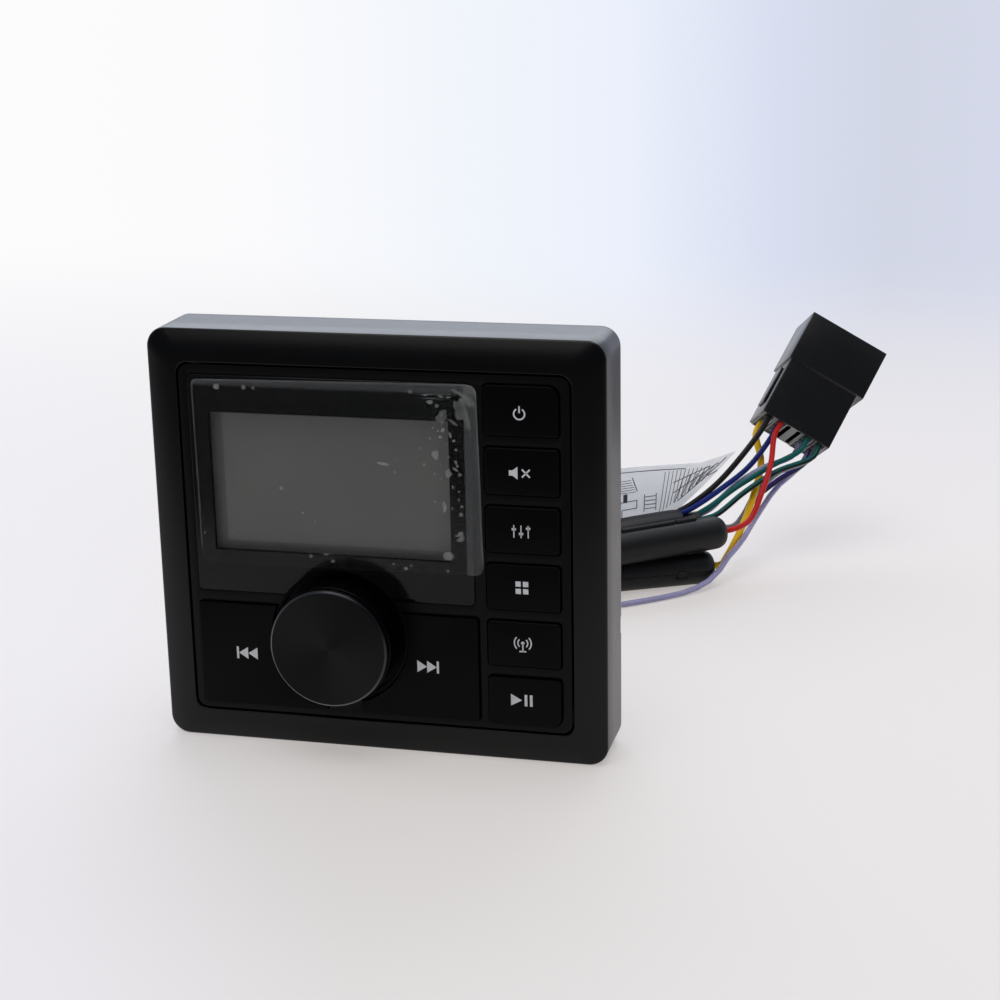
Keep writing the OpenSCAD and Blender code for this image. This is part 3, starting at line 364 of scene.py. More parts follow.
def finished(obj, finish, body=STEREO, slot=None, crease=38, node=None):
    """Give a mesh its finish, its shading and the body it moves with, and hide the solid it stands for."""
    mesh = obj.data
    mesh.materials.clear()
    mesh.materials.append(FINISH[finish])
    mesh.shade_smooth()
    if crease:
        mesh.set_sharp_from_angle(angle=radians(crease))
    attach(obj, body)
    if node:
        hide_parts(node)
    return obj


def mended(mesh, gap, settle):
    """Join a mesh's points closer than gap metres, then settle its faces."""
    work = bmesh.new()
    work.from_mesh(mesh)
    bmesh.ops.remove_doubles(work, verts=work.verts, dist=gap)
    settle(work)
    work.to_mesh(mesh)
    work.free()


def make(name, *shapes, mend=True):
    """One object from shapes in millimetres."""
    points, faces = [], []
    for more, others in shapes:
        faces += [[i + len(points) for i in face] for face in others]
        points += more
    mesh = bpy.data.meshes.new(name)
    mesh.from_pydata([Vector(p) * MM for p in points], [], faces)
    if mend:
        mended(mesh, 1e-7, lambda work: bmesh.ops.recalc_face_normals(work, faces=work.faces))
    return linked(name, mesh)


def loft(loops, around=False, caps=True):
    """Skin over loops of as many points each. around joins the last loop to the first."""
    count, rows = len(loops[0]), len(loops)
    faces = []
    for i in range(rows if around else rows - 1):
        a, b = i * count, (i + 1) % rows * count
        faces += [[a + k, a + (k + 1) % count, b + (k + 1) % count, b + k] for k in range(count)]
    if caps and not around:
        faces += [list(range(count))[::-1], [(rows - 1) * count + k for k in range(count)]]
    return [p for loop in loops for p in loop], faces


def spokes(sides):
    """Directions evenly round a circle, from the right and against the clock."""
    return [(cos(2 * pi * k / sides), sin(2 * pi * k / sides)) for k in range(sides)]


def bend(cx, cy, r, start, end, steps):
    """Points on part of a circle, in degrees from the right, against the clock."""
    turns = [radians(start + (end - start) * k / steps) for k in range(steps + 1)]
    return [(cx + r * cos(a), cy + r * sin(a)) for a in turns]


def rounded(x0, x1, h0, h1, r, steps):
    """Rectangle with round corners, from the lower left, against the clock."""
    return [
        *bend(x0 + r, h0 + r, r, 180, 270, steps), *bend(x1 - r, h0 + r, r, 270, 360, steps),
        *bend(x1 - r, h1 - r, r, 0, 90, steps), *bend(x0 + r, h1 - r, r, 90, 180, steps),
    ]


def at_depth(outline, t):
    return [panel(x, h, t) for x, h in outline]


def turned(profile, sides, centre=(KNOB_X, KNOB_Z)):
    """Solid of revolution about an axis towards the viewer, from a closed profile of radius and depth."""
    x, h = centre
    return loft([[panel(x + r * c, h + r * s, t) for c, s in spokes(sides)] for r, t in profile], around=True)


def plate(polygon, t0, t1):
    """Flat shape between two depths."""
    return loft([at_depth(polygon, t0), at_depth(polygon, t1)])


def bar(x0, x1, y0, y1):
    return [(x0, y0), (x1, y0), (x1, y1), (x0, y1)]


def box(x, h, t):
    return plate(bar(*x, *h), *t)


def baked(obj):
    """The object with its modifiers applied."""
    graph = bpy.context.evaluated_depsgraph_get()
    mesh = bpy.data.meshes.new_from_object(obj.evaluated_get(graph), depsgraph=graph)
    obj.modifiers.clear()
    old = obj.data
    obj.data = mesh
    bpy.data.meshes.remove(old)
    mesh.name = obj.name
    return obj


def bevelled(obj, width, segments=3):
    """Round an object's edges, by a width in millimetres."""
    bevel = obj.modifiers.new("edges", "BEVEL")
    bevel.width, bevel.segments = width * MM, segments
    bevel.limit_method, bevel.angle_limit = "ANGLE", radians(32)
    bevel.miter_outer = "MITER_ARC"
    return baked(obj)


def dressed(name, node, width, finish, slot, segments=3, **settings):
    """A solid's own shape with its edges rounded, which stands for that solid."""
    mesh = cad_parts[node].data.copy()
    mesh.name = name
    mended(mesh, 1e-6, lambda work: bmesh.ops.dissolve_limit(
        work, angle_limit=radians(0.6), verts=work.verts, edges=work.edges,
    ))
    obj = bevelled(linked(name, mesh), width, segments)
    return finished(obj, finish, slot=slot, node=node, **settings)


# Cords: routes as in the solids, from one end to the other

HOLDER_LEN = 58
LOWER = (Vector((45.4, 134.2, 5.9)), turning(27.7, 0, 0))
UPPER = (Vector((50.6, 133.2, 17.4)), turning(33.0, -2.5, 0))
CONNECTOR = (Vector((92.1, 193.1, 72.7)), turning(6.6, 30.3, 59.3))
# The middles of the connector's cavities, and how far its wire end is from its corner
COLUMNS, ROWS, BLOCK_LEN = (4, 9, 20, 25.2), (-3.2, -8.1, -13, -17.9), 22.7


def put_at(spot, *point):
    """A point given in a holder's or the connector's own directions."""
    middle, turn = spot
    return middle + turn @ Vector(point)


def tip(holder, side, out=0):
    return put_at(holder, side * (HOLDER_LEN / 2 + out), 0, 0)


def cavity(column, row, out=0):
    return put_at(CONNECTOR, COLUMNS[column], -BLOCK_LEN - out, ROWS[row])


def run_along(path):
    """How far along a path each of its points lies."""
    return list(accumulate(((b - a).length for a, b in zip(path, path[1:])), initial=0.0))


def smoothed(route, count):
    """Even points on a smooth curve through a route's points."""
    p = [Vector(q) for q in route]
    p = [2 * p[0] - p[1], *p, 2 * p[-1] - p[-2]]
    dense = []
    for a, b, c, d in zip(p, p[1:], p[2:], p[3:]):
        before, here, after = (max((v - u).length, 1e-6) ** 0.5 for u, v in ((a, b), (b, c), (c, d)))
        leaving = ((b - a) / before - (c - a) / (before + here) + (c - b) / here) * here
        arriving = ((c - b) / here - (d - b) / (here + after) + (d - c) / after) * here
        for k in range(24):
            s = k / 24
            shares = (2 * s**3 - 3 * s**2 + 1, s**3 - 2 * s**2 + s, 3 * s**2 - 2 * s**3, s**3 - s**2)
            dense.append(sum((w * q for w, q in zip(shares, (b, leaving, c, arriving))), Vector((0, 0, 0))))
    dense.append(p[-2])
    run = run_along(dense)
    even = np.linspace(0, run[-1], count)
    return [Vector(q) for q in zip(*(np.interp(even, run, side) for side in zip(*dense)))]


def swept(name, path, radius, sides):
    """Closed round tube along a path, mapped once round and in metres along.

    radius gives the tube's radius at a share of its length.
    """
    long = run_along(path)
    heads = [(path[min(i + 1, len(path) - 1)] - path[max(i - 1, 0)]).normalized() for i in range(len(path))]
    side = Vector((0, 0, 1)).cross(heads[0]).normalized()
    loops = []
    for p, head, s in zip(path, heads, long):
        side = (side - side.dot(head) * head).normalized()
        other, r = head.cross(side), radius(s / long[-1])
        loops.append([p + r * (c * side + s * other) for c, s in spokes(sides)])
    rims = [[path[i].lerp(q, 0.55) for q in loops[i]] for i in (0, -1)]
    loops = [rims[0], *loops, rims[1]]
    long = [0.0, *long, long[-1]]
    obj = make(name, loft(loops), mend=False)
    coords = obj.data.uv_layers.new(name="UVMap").data
    for face in obj.data.polygons:
        for turn, loop in zip(range(face.loop_total), face.loop_indices):
            i, k = divmod(obj.data.loops[loop].vertex_index, sides)
            wrap = 1 if k == 0 and face.loop_total == 4 and turn in (1, 2) else 0
            coords[loop].uv = (k / sides + wrap, long[i] * MM)
    return obj


connector_body = dressed("connector_body", "connector_housing", 0.35, "connector", "connector_plastic")


def knuckle(x0, x1):
    """Hinge barrel along a fuse holder's seam."""
    y, r = 6.14, 0.8
    ends = ((x0, r * 0.75), (x0 + 0.2, r), (x1 - 0.2, r), (x1, r * 0.75))
    return loft([[Vector((x, y + q * c, q * s)) for c, s in spokes(16)] for x, q in ends])


def tab(wide, cut, y0, y1, z, x):
    """Latch tongue or lip across a fuse holder's seam, with its two low corners cut."""
    outline = [
        (x - wide + cut, z[0]), (x + wide - cut, z[0]), (x + wide, z[0] + cut),
        (x + wide, z[1]), (x - wide, z[1]), (x - wide, z[0] + cut),
    ]
    return loft([[Vector((a, y, b)) for a, b in outline] for y in (y0, y1)])


def half_holder(name, holder, rolled, side, node, body=STEREO):
    """One half of an inline fuse holder: a shell with domed tips, a seam lip, a hinge and a latch."""
    half, r, wire_r, gap, sides = HOLDER_LEN / 2, 5.85, 1.2, 0.13, 28
    shoulder, flat_r, dome = half - 0.5, 3.0, 4.5
    fuse_r, fuse_half, fuse_end = 4.2, 18.0, 20.0
    rim = [(half, wire_r), (half, 2.2), (shoulder, flat_r)]
    rim += [(shoulder - dome * (1 - c), flat_r + (r - flat_r) * s) for c, s in spokes(24)[1:7]]
    profile = rim + [(-x, q) for x, q in rim[::-1]]
    profile += [(-fuse_end, wire_r), (-fuse_half, fuse_r), (fuse_half, fuse_r), (fuse_end, wire_r)]
    around = spokes(2 * sides)[:sides + 1]
    loops = [[Vector((x, q * c, side * (q * s + gap))) for x, q in profile] for c, s in around]
    details, front = [loft(loops)], -r + 0.4
    if side > 0:
        details += [
            knuckle(-18, -10.3), knuckle(10.3, 18), tab(1.5, 0.18, -r - 0.32, front, (-1.3, 0.9), 15.5),
            tab(23.4, 0.09, -r - 0.16, front, (gap, 0.62), 0),
        ]
    else:
        details += [knuckle(-10, 10), tab(2.2, 0.18, -r - 0.18, front, (-2.2, -1.5), 15.5)]
    roll = turning(0, 0, rolled)
    shapes = [([put_at(holder, *(roll @ Vector(p))) for p in points], faces) for points, faces in details]
    return finished(make(name, *shapes), "holder", body=body, slot="holder_plastic", crease=35, node=node)


lower_shell = half_holder("lower_holder_shell", LOWER, 0, -1, "fuse_holder_lower")
half_holder("lower_holder_lid", LOWER, 0, 1, "fuse_lid_lower")
upper_shell = half_holder("upper_holder_shell", UPPER, 90, -1, "fuse_holder_upper")
half_holder("upper_holder_lid", UPPER, 90, 1, "fuse_lid_upper", "upper_fuse_lid")


def wrinkled(s):
    """Radius of the harness sleeve: wrinkles at the tight bend, and a shrunk end."""
    return 5.0 + 0.10 * sin(s * 61) * exp(-((s - 0.3) / 0.22) ** 2) - (0.25 if s > 0.992 else 0)


def lay_cord(name, node, thick, finish, route, count=36, sides=20):
    path = smoothed(route, count)
    radius = wrinkled if node == "harness_sleeve" else lambda s: thick / 2
    obj = swept(name, path, radius, sides)
    finished(obj, finish, slot=finish.split("_")[0] + "_vinyl", crease=50, node=node)


SLEEVE_BEND, SLEEVE_END = Vector((39.5, 141, 18.5)), Vector((58.5, 151.8, 20))
INNER_END = SLEEVE_END + 6.8 * (SLEEVE_END - SLEEVE_BEND).normalized()
lay_cord("harness_sleeve_tube", "harness_sleeve", 10, "sleeve", [
    (-8, 28.7, 34), (-8, 32, 34), (-8, 40, 33), (-6, 56, 27.5), (-2, 78, 19), (4, 100, 13.5),
    (10, 118, 13), (22, 133, 15.5), SLEEVE_BEND, SLEEVE_END,
], count=40, sides=40)
lay_cord("speaker_sleeve_tube", "speaker_sleeve", 6, "sleeve", [
    (22, 133, 15.5), SLEEVE_BEND, SLEEVE_END, INNER_END,
], count=16, sides=28)

# Name, solid, thickness, finish, column and row of the cavity it ends in, and the way there
WIRES = (
    ("yellow_wire", "yellow_wires", 2.5, "yellow", 0, 2, [
        tip(LOWER, 1), tip(LOWER, 1, 3), (75, 151.5, 7.5), (79, 161, 15.5), (82, 171, 25),
        (83.5, 181.5, 35.5),
    ]),
    ("red_wire", "red_wires", 2.0, "red", 1, 0, [
        tip(UPPER, 1), tip(UPPER, 1, 3), (82.5, 157, 20.5), (86, 165, 29), (88, 173.5, 37.5),
    ]),
    ("black_wire_run", "black_wire", 2.1, "black", 0, 0, [
        (58, 152.35, 24), (61.5, 155.2, 25.6), (67.3, 162, 29.3), (71.5, 166, 33), (78, 172, 40.5),
    ]),
    ("navy_wire_run", "navy_wire", 2.0, "navy", 1, 1, [
        (59, 150.5, 23.8), (61.6, 152.6, 24.6), (65, 156.5, 26.1), (72, 165, 30), (80, 175, 35.5),
    ]),
    ("teal_wire", "teal_wires", 2.0, "teal", 2, 0, [
        (64.52, 155.11, 22.56), (68.5, 159, 24.5), (76, 166, 29.5), (87, 174.5, 35.5),
    ]),
    ("teal_wire_striped", "teal_wires", 2.0, "teal_striped", 3, 0, [
        (65.49, 153.49, 20.91), (70.5, 158.5, 21.5), (79.5, 167, 28), (90, 175, 34),
    ]),
    ("lavender_wire", "lavender_wires", 2.0, "lavender", 2, 2, [
        (63.5, 156.9, 21.2), (68, 160.5, 23), (75, 170, 29), (84.3, 177.3, 34.3),
    ]),
    ("grey_wire_run", "grey_wire", 2.0, "grey", 3, 1, [
        (64.07, 156.57, 18.82), (69, 161.5, 16.5), (75.3, 168.5, 14.5), (78.4, 172.5, 17.7),
        (82.2, 174.5, 24.9), (90, 178.5, 32.5),
    ]),
    ("violet_wire_run", "violet_wire", 2.0, "violet", 3, 2, [
        (65.43, 154.53, 18.59), (70, 161, 14.5), (74, 171, 12.5), (78.1, 175.5, 15.8),
        (81.6, 177.5, 22), (89.2, 182, 28.4),
    ]),
    ("lavender_wire_loose", "lavender_wires", 2.0, "lavender", 3, 3, [
        (4, 28.7, 25), (5, 38, 23), (10.5, 60, 11), (15, 82, 2.5), (20, 98, 1.2), (44.5, 113.5, 1.2),
        (63.2, 129.5, 1.25), (67.8, 134.5, 2), (71, 139, 3.2), (73.6, 142.5, 5.4), (76.2, 148, 9.1),
        (79.7, 155.8, 12.4), (83, 171, 17), (89, 183, 25.5),
    ]),
)
for name, node, thick, finish, column, row, route in WIRES:
    route = [*route, cavity(column, row, 5), cavity(column, row)]
    lay_cord(name, node, thick, finish, route)
lay_cord("yellow_lead", "yellow_wires", 2.5, "yellow", [
    (-1, 28.7, 26), (-1, 34, 25.5), (1, 42, 21.5), (4, 66, 10), (6, 85, 3.1), (9, 104, 1.7),
    tip(LOWER, -1, 4), tip(LOWER, -1),
])
lay_cord("red_lead", "red_wires", 2.5, "red", [
    (1, 28.7, 30), (1, 34, 29.5), (3, 44, 26.5), (8, 74, 14.5), (12, 92, 11), (17, 106, 13),
    tip(UPPER, -1, 4), tip(UPPER, -1),
])


# Trim ring

def ring_section():
    """Across the ring, from its back edge round: side inset, bottom inset, depth and corner radius."""
    edge, border, crown, corner = 0.9, 9.2, 1.8, 5.5
    section = [
        (0.35, 0.35, -20.5, 5.2), (0.1, 0.1, -20.4, 5.45), (0, 0, -20.15, corner), (0.01, 0, -19, corner),
        (0.05, 0, -9, corner), (0.1, 0, -edge, corner),
    ]
    for k in range(1, 5):  # the rounded front edge
        a = radians(60 * k / 4)
        inset = edge * (1 - cos(a)) * 2
        section.append((0.1 + inset, inset, -edge + edge * sin(a) / sin(radians(60)), corner))
    for k in range(1, 24):  # the face, which swells towards its inner edge
        s = k / 24
        inset = edge + s * (border - edge)
        section.append((inset + 0.1 * (1 - s), inset, crown * (1 - (1 - s) ** 2), corner - 2 * s))
    inner = (
        (8.9, crown, 3.6), (9.08, 1.75, 3.55), (9.17, 1.62, 3.5), (border, 1.4, 3.5), (border, -1.6, 3.5),
        (2.2, -1.6, 4.0), (2.2, -20.3, 4.0), (2.35, -20.5, 4.1),
    )
    return section + [(one[0], *one) for one in inner]


loops = []
for side, bottom, t, r in ring_section():
    outline = rounded(-RING_W / 2 + side, RING_W / 2 - side, bottom - LIFT, RING_H - LIFT - side, r, 10)
    loops.append(at_depth(outline, t))
obj = make("trim_ring_shell", loft(loops, around=True))
cutter = make("notch_cutter", box((64.6, 67), (32.3, 37.4), (-22, -19.4)))
cut = obj.modifiers.new("notch", "BOOLEAN")
cut.operation, cut.object, cut.solver = "DIFFERENCE", cutter, "EXACT"
baked(obj)
bpy.data.objects.remove(cutter)
finished(obj, "ring", slot="ring_plastic", crease=40, node="trim_ring")
hooks = []
for side in (-1, 1):
    for t, away in (((-20.4, -19.55), 30), ((-16.4, -1.6), 42)):
        for h in (58.3 - away, 52.3 + away):
            hooks.append(box(sorted((side * 61.9, side * 63.4)), (h, h + 10), t))
        for h in (2.0 - LIFT, 117.9 - LIFT):
            hooks.append(box((side * away - 5, side * away + 5), (h, h + 1.5), t))
finished(bevelled(make("trim_ring_hooks", *hooks), 0.2, 2), "ring", slot="ring_plastic")


# Face plate, keys and their legends

dressed("face_plate", "front_housing", 0.22, "plate", "plate_plastic")


def arc(cx, cy, r, wide, start, end, steps=20):
    """Curved stroke, in degrees from the right, against the clock."""
    outer = bend(cx, cy, r + wide / 2, start, end, steps)
    return outer + bend(cx, cy, r - wide / 2, start, end, steps)[::-1]


def stroke(x0, y0, x1, y1, wide):
    along = Vector((x1 - x0, y1 - y0)).normalized() * wide / 2
    nx, ny = -along.y, along.x
    return [(x0 + nx, y0 + ny), (x0 - nx, y0 - ny), (x1 - nx, y1 - ny), (x1 + nx, y1 + ny)]


# Middle of each key, and the outlines of its legend
KEYS = {
    "power": (42.0, 101.1, [arc(0, -0.15, 1.5, 0.42, 122, 418, 36), bar(-0.21, 0.21, 0.1, 2.0)]),
    "mute": (42.0, 84.5, [
        [(-3.1, -0.75), (-2.1, -0.75), (-0.7, -1.8), (-0.7, 1.8), (-2.1, 0.75), (-3.1, 0.75)],
        stroke(0.5, -1.1, 2.7, 1.1, 0.48), stroke(0.5, 1.1, 2.7, -1.1, 0.48),
    ]),
    "tone": (42.0, 68.0, [
        *[bar(x - 0.15, x + 0.15, -1.8, 1.8) for x in (-2, 0, 2)],
        *[bar(x - 0.6, x + 0.6, y, y + 0.65) for x, y in ((-2, 0.3), (0, -0.95), (2, 0.65))],
    ]),
    "mode": (42.0, 51.9, [bar(x, x + 1.5, y, y + 1.5) for x in (-1.8, 0.3) for y in (-1.8, 0.3)]),
    "band": (42.0, 35.0, [
        bar(-0.2, 0.2, -1.8, 0.6), [(0.5 * c, 0.75 + 0.5 * s) for c, s in spokes(20)],
        bar(-1.0, 1.0, -1.9, -1.5),
        *[arc(0, 0.75, r, 0.36, way - a, way + a) for r, a in ((1.4, 48), (2.4, 44)) for way in (0, 180)],
    ]),
    "play": (41.4, 18.8, [
        [(-3.05, -1.75), (0.15, 0), (-3.05, 1.75)], bar(0.85, 1.65, -1.7, 1.7), bar(2.35, 3.15, -1.7, 1.7),
    ]),
    "previous": (-39.3, 27.1, [
        bar(-3.2, -2.55, -1.8, 1.8), [(-2.55, 0), (0.25, -1.8), (0.25, 1.8)],
        [(0.3, 0), (3.1, -1.8), (3.1, 1.8)],
    ]),
    "next": (14.5, 26.8, [
        [(-3.1, -1.8), (-0.3, 0), (-3.1, 1.8)], [(-0.25, -1.8), (2.55, 0), (-0.25, 1.8)],
        bar(2.55, 3.2, -1.8, 1.8),
    ]),
}

for key, (x, h, outlines) in KEYS.items():
    body = key + "_key"
    dressed(key + "_button", "key_" + key, 0.42, "key", "key_plastic", 4, body=body, crease=35)
    shapes = [plate([(x + a, h + b) for a, b in one], KEY_FRONT - 0.03, KEY_FRONT + 0.03) for one in outlines]
    finished(make(key + "_legend", *shapes), "legend", body=body, crease=30)


# Knob and its spun cap

bore, hub, skirt, front, back = 3.03, 5.2, 17.1, 10.3, 4.8
profile = [
    (bore, 2), (5.0, 2), (hub, 2.2), (hub, 8.8), (15, 8.8), (15, -1.5), (16.2, -1.5), (16.4, -1.3),
    (16.4, 4.5),
    *bend(skirt, back, 0.3, -90, 0, 5), *bend(skirt, front, 0.3, 0, 90, 5),
    (16.45, 10.6), (16.3, 10.5), (16.3, 11.2), (bore, 11.2),
]
finished(make("knob_skirt", turned(profile, 128)), "knob", body="knob", slot="knob_plastic", node="knob")

# Cap turned on a lathe: real fine grooves, so that light spreads into a bow-tie as on spun metal; its finish
# paints a bow-tie highlight as well
cap_r, back, front, pitch, depth = 17.0, 11.2, 13.2, 0.34, 0.018
profile = [
    (0.02, back), (cap_r - 0.1, back), (cap_r, back + 0.1), (cap_r, front - 0.62),
    (cap_r - 0.06, front - 0.5), (cap_r - 0.5, front - 0.05), (cap_r - 0.62, front),
]
r = cap_r - 0.8
while r > 0.3:
    profile += [(r - k * pitch / 4, front - down * depth) for k, down in enumerate((0, 0.5, 1, 0.5))]
    r -= pitch
profile.append((0.02, front))
obj = make("knob_spun_cap", turned(profile, 144))
finished(obj, "cap", body="knob", slot="knob_metal", crease=30, node="knob_cap")


# Display: lens, film and what the film traps

dressed("lens_plate", "display_lens", 0.28, "lens", "lens")


def film_outline():
    """The film's outline with round corners, against the clock from the lower left."""
    corners = [Vector(c) for c in ((-51.5, 53.3), (31.4, 54.5), (30.2, 108.5), (-51.9, 107.2))]
    outline = []
    for i, (corner, r) in enumerate(zip(corners, (2.2, 3.2, 3.0, 2.2))):
        before = corner + (corners[i - 1] - corner).normalized() * r
        after = corner + (corners[(i + 1) % 4] - corner).normalized() * r
        for k in range(9):
            outline.append(before.lerp(corner, k / 8).lerp(corner.lerp(after, k / 8), k / 8))
    rich = []
    for a, b in zip(outline, outline[1:] + outline[:1]):
        pieces = max(1, round((b - a).length / 2.6)) if (b - a).length > 5 else 1
        rich += [a.lerp(b, k / pieces) for k in range(pieces)]
    return rich


def film_height(x, h):
    """How far the film stands off the face: pressed on the lens, loose past its right edge."""
    lens_right, lift = 26.6, 0.06
    if x > lens_right:
        loose = (x - lens_right) / 4.8
        lift += 0.25 * sin(min(loose * 2.2, 1) * pi / 2)
        lift += 0.35 * loose * loose * (1 + 0.5 * sin(h * 0.21))
    ripple = noise.noise(Vector((x * 0.09, h * 0.11, 0.4)))
    corner = max(0.0, (x - 12) / 18) * max(0.0, (h - 96) / 12)
    return LENS_FRONT + lift + 0.03 * ripple + 0.5 * corner * (0.6 + 0.4 * sin(x * 1.1 + h * 0.8))


# The film as rings from its edge to its middle, with how far in each lies as its map
insets = (0, 0.35, 0.8, 1.6, 3.5, 6.5, 10, 14, 18, 22, 25.5, 27)
outline, middle = film_outline(), Vector((-10.4, 80.9))
loops = []
for inset in insets[:-1]:
    wide, high = 1 - inset / 41.3, 1 - inset / 27.2
    spots = [middle + Vector(((p.x - middle.x) * wide, (p.y - middle.y) * high)) for p in outline]
    loops.append([panel(*spot, film_height(*spot)) for spot in spots])
points, faces = loft(loops, caps=False)
count, centre = len(outline), len(points)
points.append(panel(*middle, film_height(*middle)))
faces += [[centre - count + k, centre - count + (k + 1) % count, centre] for k in range(count)]
obj = make("display_film", (points, faces), mend=False)
coords = obj.data.uv_layers.new(name="UVMap").data
for loop in obj.data.loops:
    coords[loop.index].uv = (insets[loop.vertex_index // count] * MM, 0)
finished(obj, "film", slot="film", crease=None, node="protective_film")


def blister(x, h, rx, rh=None, turn=0, tall=0.12, rough=0.0):
    """Low closed blister of trapped air under the film."""
    ahead, aside = cos(radians(turn)), sin(radians(turn))
    loops = []
    for reach, up in ((1.0, 0.0), (0.9, 0.55), (0.6, 0.9), (0.2, 1.0)):
        loop = []
        for c, s in spokes(14):
            wobble = reach * (1 + rough * noise.noise(Vector((c * 1.7 + x, s * 1.7 + h, 0))))
            u, v = rx * wobble * c, (rh or rx) * wobble * s
            px, ph = x + u * ahead - v * aside, h + u * aside + v * ahead
            loop.append(panel(px, ph, film_height(px, ph) + 0.02 + tall * up))
        loops.append(loop)
    return loft(loops)


# Each blister: middle, half width, and where they matter half height, turn, height and roughness
BUBBLES = [
    (-44.3, 105.2, 0.9), (-36.3, 105.2, 0.55, 0.6), (-33.4, 105.1, 0.45), (11.7, 105.8, 0.5),
    (24.1, 90.1, 0.4), (24.0, 86.7, 0.45, 0.5), (23.8, 84.6, 0.8, 0.35, -30), (25.1, 83.1, 0.45),
    (24.7, 78.3, 0.3), (24.6, 76.0, 0.3), (25.4, 74.1, 0.4), (25.1, 71.8, 0.55),
    (25.0, 66.3, 0.8, 0.8, 0, 0.15, 0.5), (24.0, 65.7, 0.8, 0.25, 10), (-18.8, 57.4, 0.5),
    (-14.3, 58.2, 0.8, 0.4), (-12.4, 56.2, 0.55, 0.5), (8.9, 55.3, 0.5), (10.4, 56.3, 0.35),
    (21.0, 55.4, 0.4), (-50.6, 66.7, 0.25), (-50.2, 62.6, 0.25, 0.3), (-48.3, 54.6, 0.2),
    (20.6, 95.5, 0.8, 0.5, 40, 0.12, 0.6), (17.8, 96.0, 0.25), (19.7, 93.5, 0.5, 0.4),
    (22.6, 94.2, 0.4, 0.9, 20), (21.2, 59.7, 1.7, 1.2, 0, 0.2, 0.25),
    (17.2, 103.2, 0.9, 0.6, 20, 0.15, 0.6), (19.1, 102.2, 0.6, 0.45), (15.9, 105.1, 0.6, 0.3, 10),
    (20.2, 104.9, 0.8, 0.35, -10, 0.12, 0.5), (22.3, 104.7, 0.6, 0.35, 25, 0.12, 0.5),
    (19.2, 95.2, 0.3, 0.25), (21.5, 91.6, 0.25, 0.35), (18.3, 88.5, 1.0, 1.3, 10, 0.15, 0.5),
    (15.0, 85.6, 0.3), (21.8, 83.3, 0.8, 1.5, -15, 0.15, 0.6), (24.4, 85.6, 0.4, 0.5),
    (17.9, 83.1, 0.3, 0.25), (19.8, 81.7, 0.25, 0.3), (17.9, 75.1, 0.3),
    (20.5, 73.8, 0.6, 1.7, 5, 0.15, 0.5), (22.7, 73.5, 0.3), (23.0, 79.6, 0.3, 0.5, 20),
    (24.9, 64.8, 1.2, 0.7, 35, 0.15, 0.6), (5.3, 56.4, 0.35), (3.2, 85.3, 1.7, 0.45, -8, 0.1, 0.5),
    (6.6, 83.0, 0.3, 0.25), (-26.6, 76.8, 0.6), (-41.8, 77.8, 0.25, 0.3), (-20.6, 69.9, 0.35),
    (-17.1, 67.5, 0.3), (-42.0, 63.1, 0.3), (16.8, 93.0, 0.25), (14.1, 90.2, 0.2, 0.3),
    (19.6, 86.0, 0.25, 0.2), (22.0, 88.0, 0.35, 0.3), (23.6, 92.6, 0.5, 0.3, 30, 0.12, 0.5),
    (16.2, 79.4, 0.2),
]
CREASES = [
    (25.8, 101.4, 2.1, 3.2, 12, 0.3, 0.6), (27.6, 104.2, 2.6, 1.5, -35, 0.3, 0.6),
    (20.4, 99.3, 1.3, 2.2, -30, 0.2, 0.6), (23.4, 97.8, 1.7, 0.35, -35, 0.2, 0.6),
    (27.6, 98.0, 0.9, 1.8, 8, 0.25, 0.8), (25.3, 106.0, 2.6, 0.5, -28, 0.25, 0.5),
    (18.6, 105.4, 5.0, 0.12, 2, 0.08), (17.5, 104.2, 4.2, 0.12, -2, 0.08),
]

# The blisters and creases carry a painted reflection in their pale half-clear finish.
for name, finish, spots in (("film_bubbles", "bubble", BUBBLES), ("film_creases", "crease", CREASES)):
    finished(make(name, *(blister(*spot) for spot in spots)), finish, slot="film", crease=None)


# Back of the unit

for name, node, width, finish, slot, segments in (
    ("rear_case", "rear_housing", 0.4, "case", "case_plastic", 3),
    ("cooling_fins", "heat_sink", 0.15, "sink", "sink_aluminium", 2),
    ("cable_grommet", "harness_grommet", 0.7, "grommet", "grommet_rubber", 4),
    ("antenna_jack", "antenna_socket", 0.2, "socket", "socket_metal", 2),
    ("line_jacks", "line_out_sockets", 0.15, "socket", "socket_metal", 2),
):
    dressed(name, node, width, finish, slot, segments)


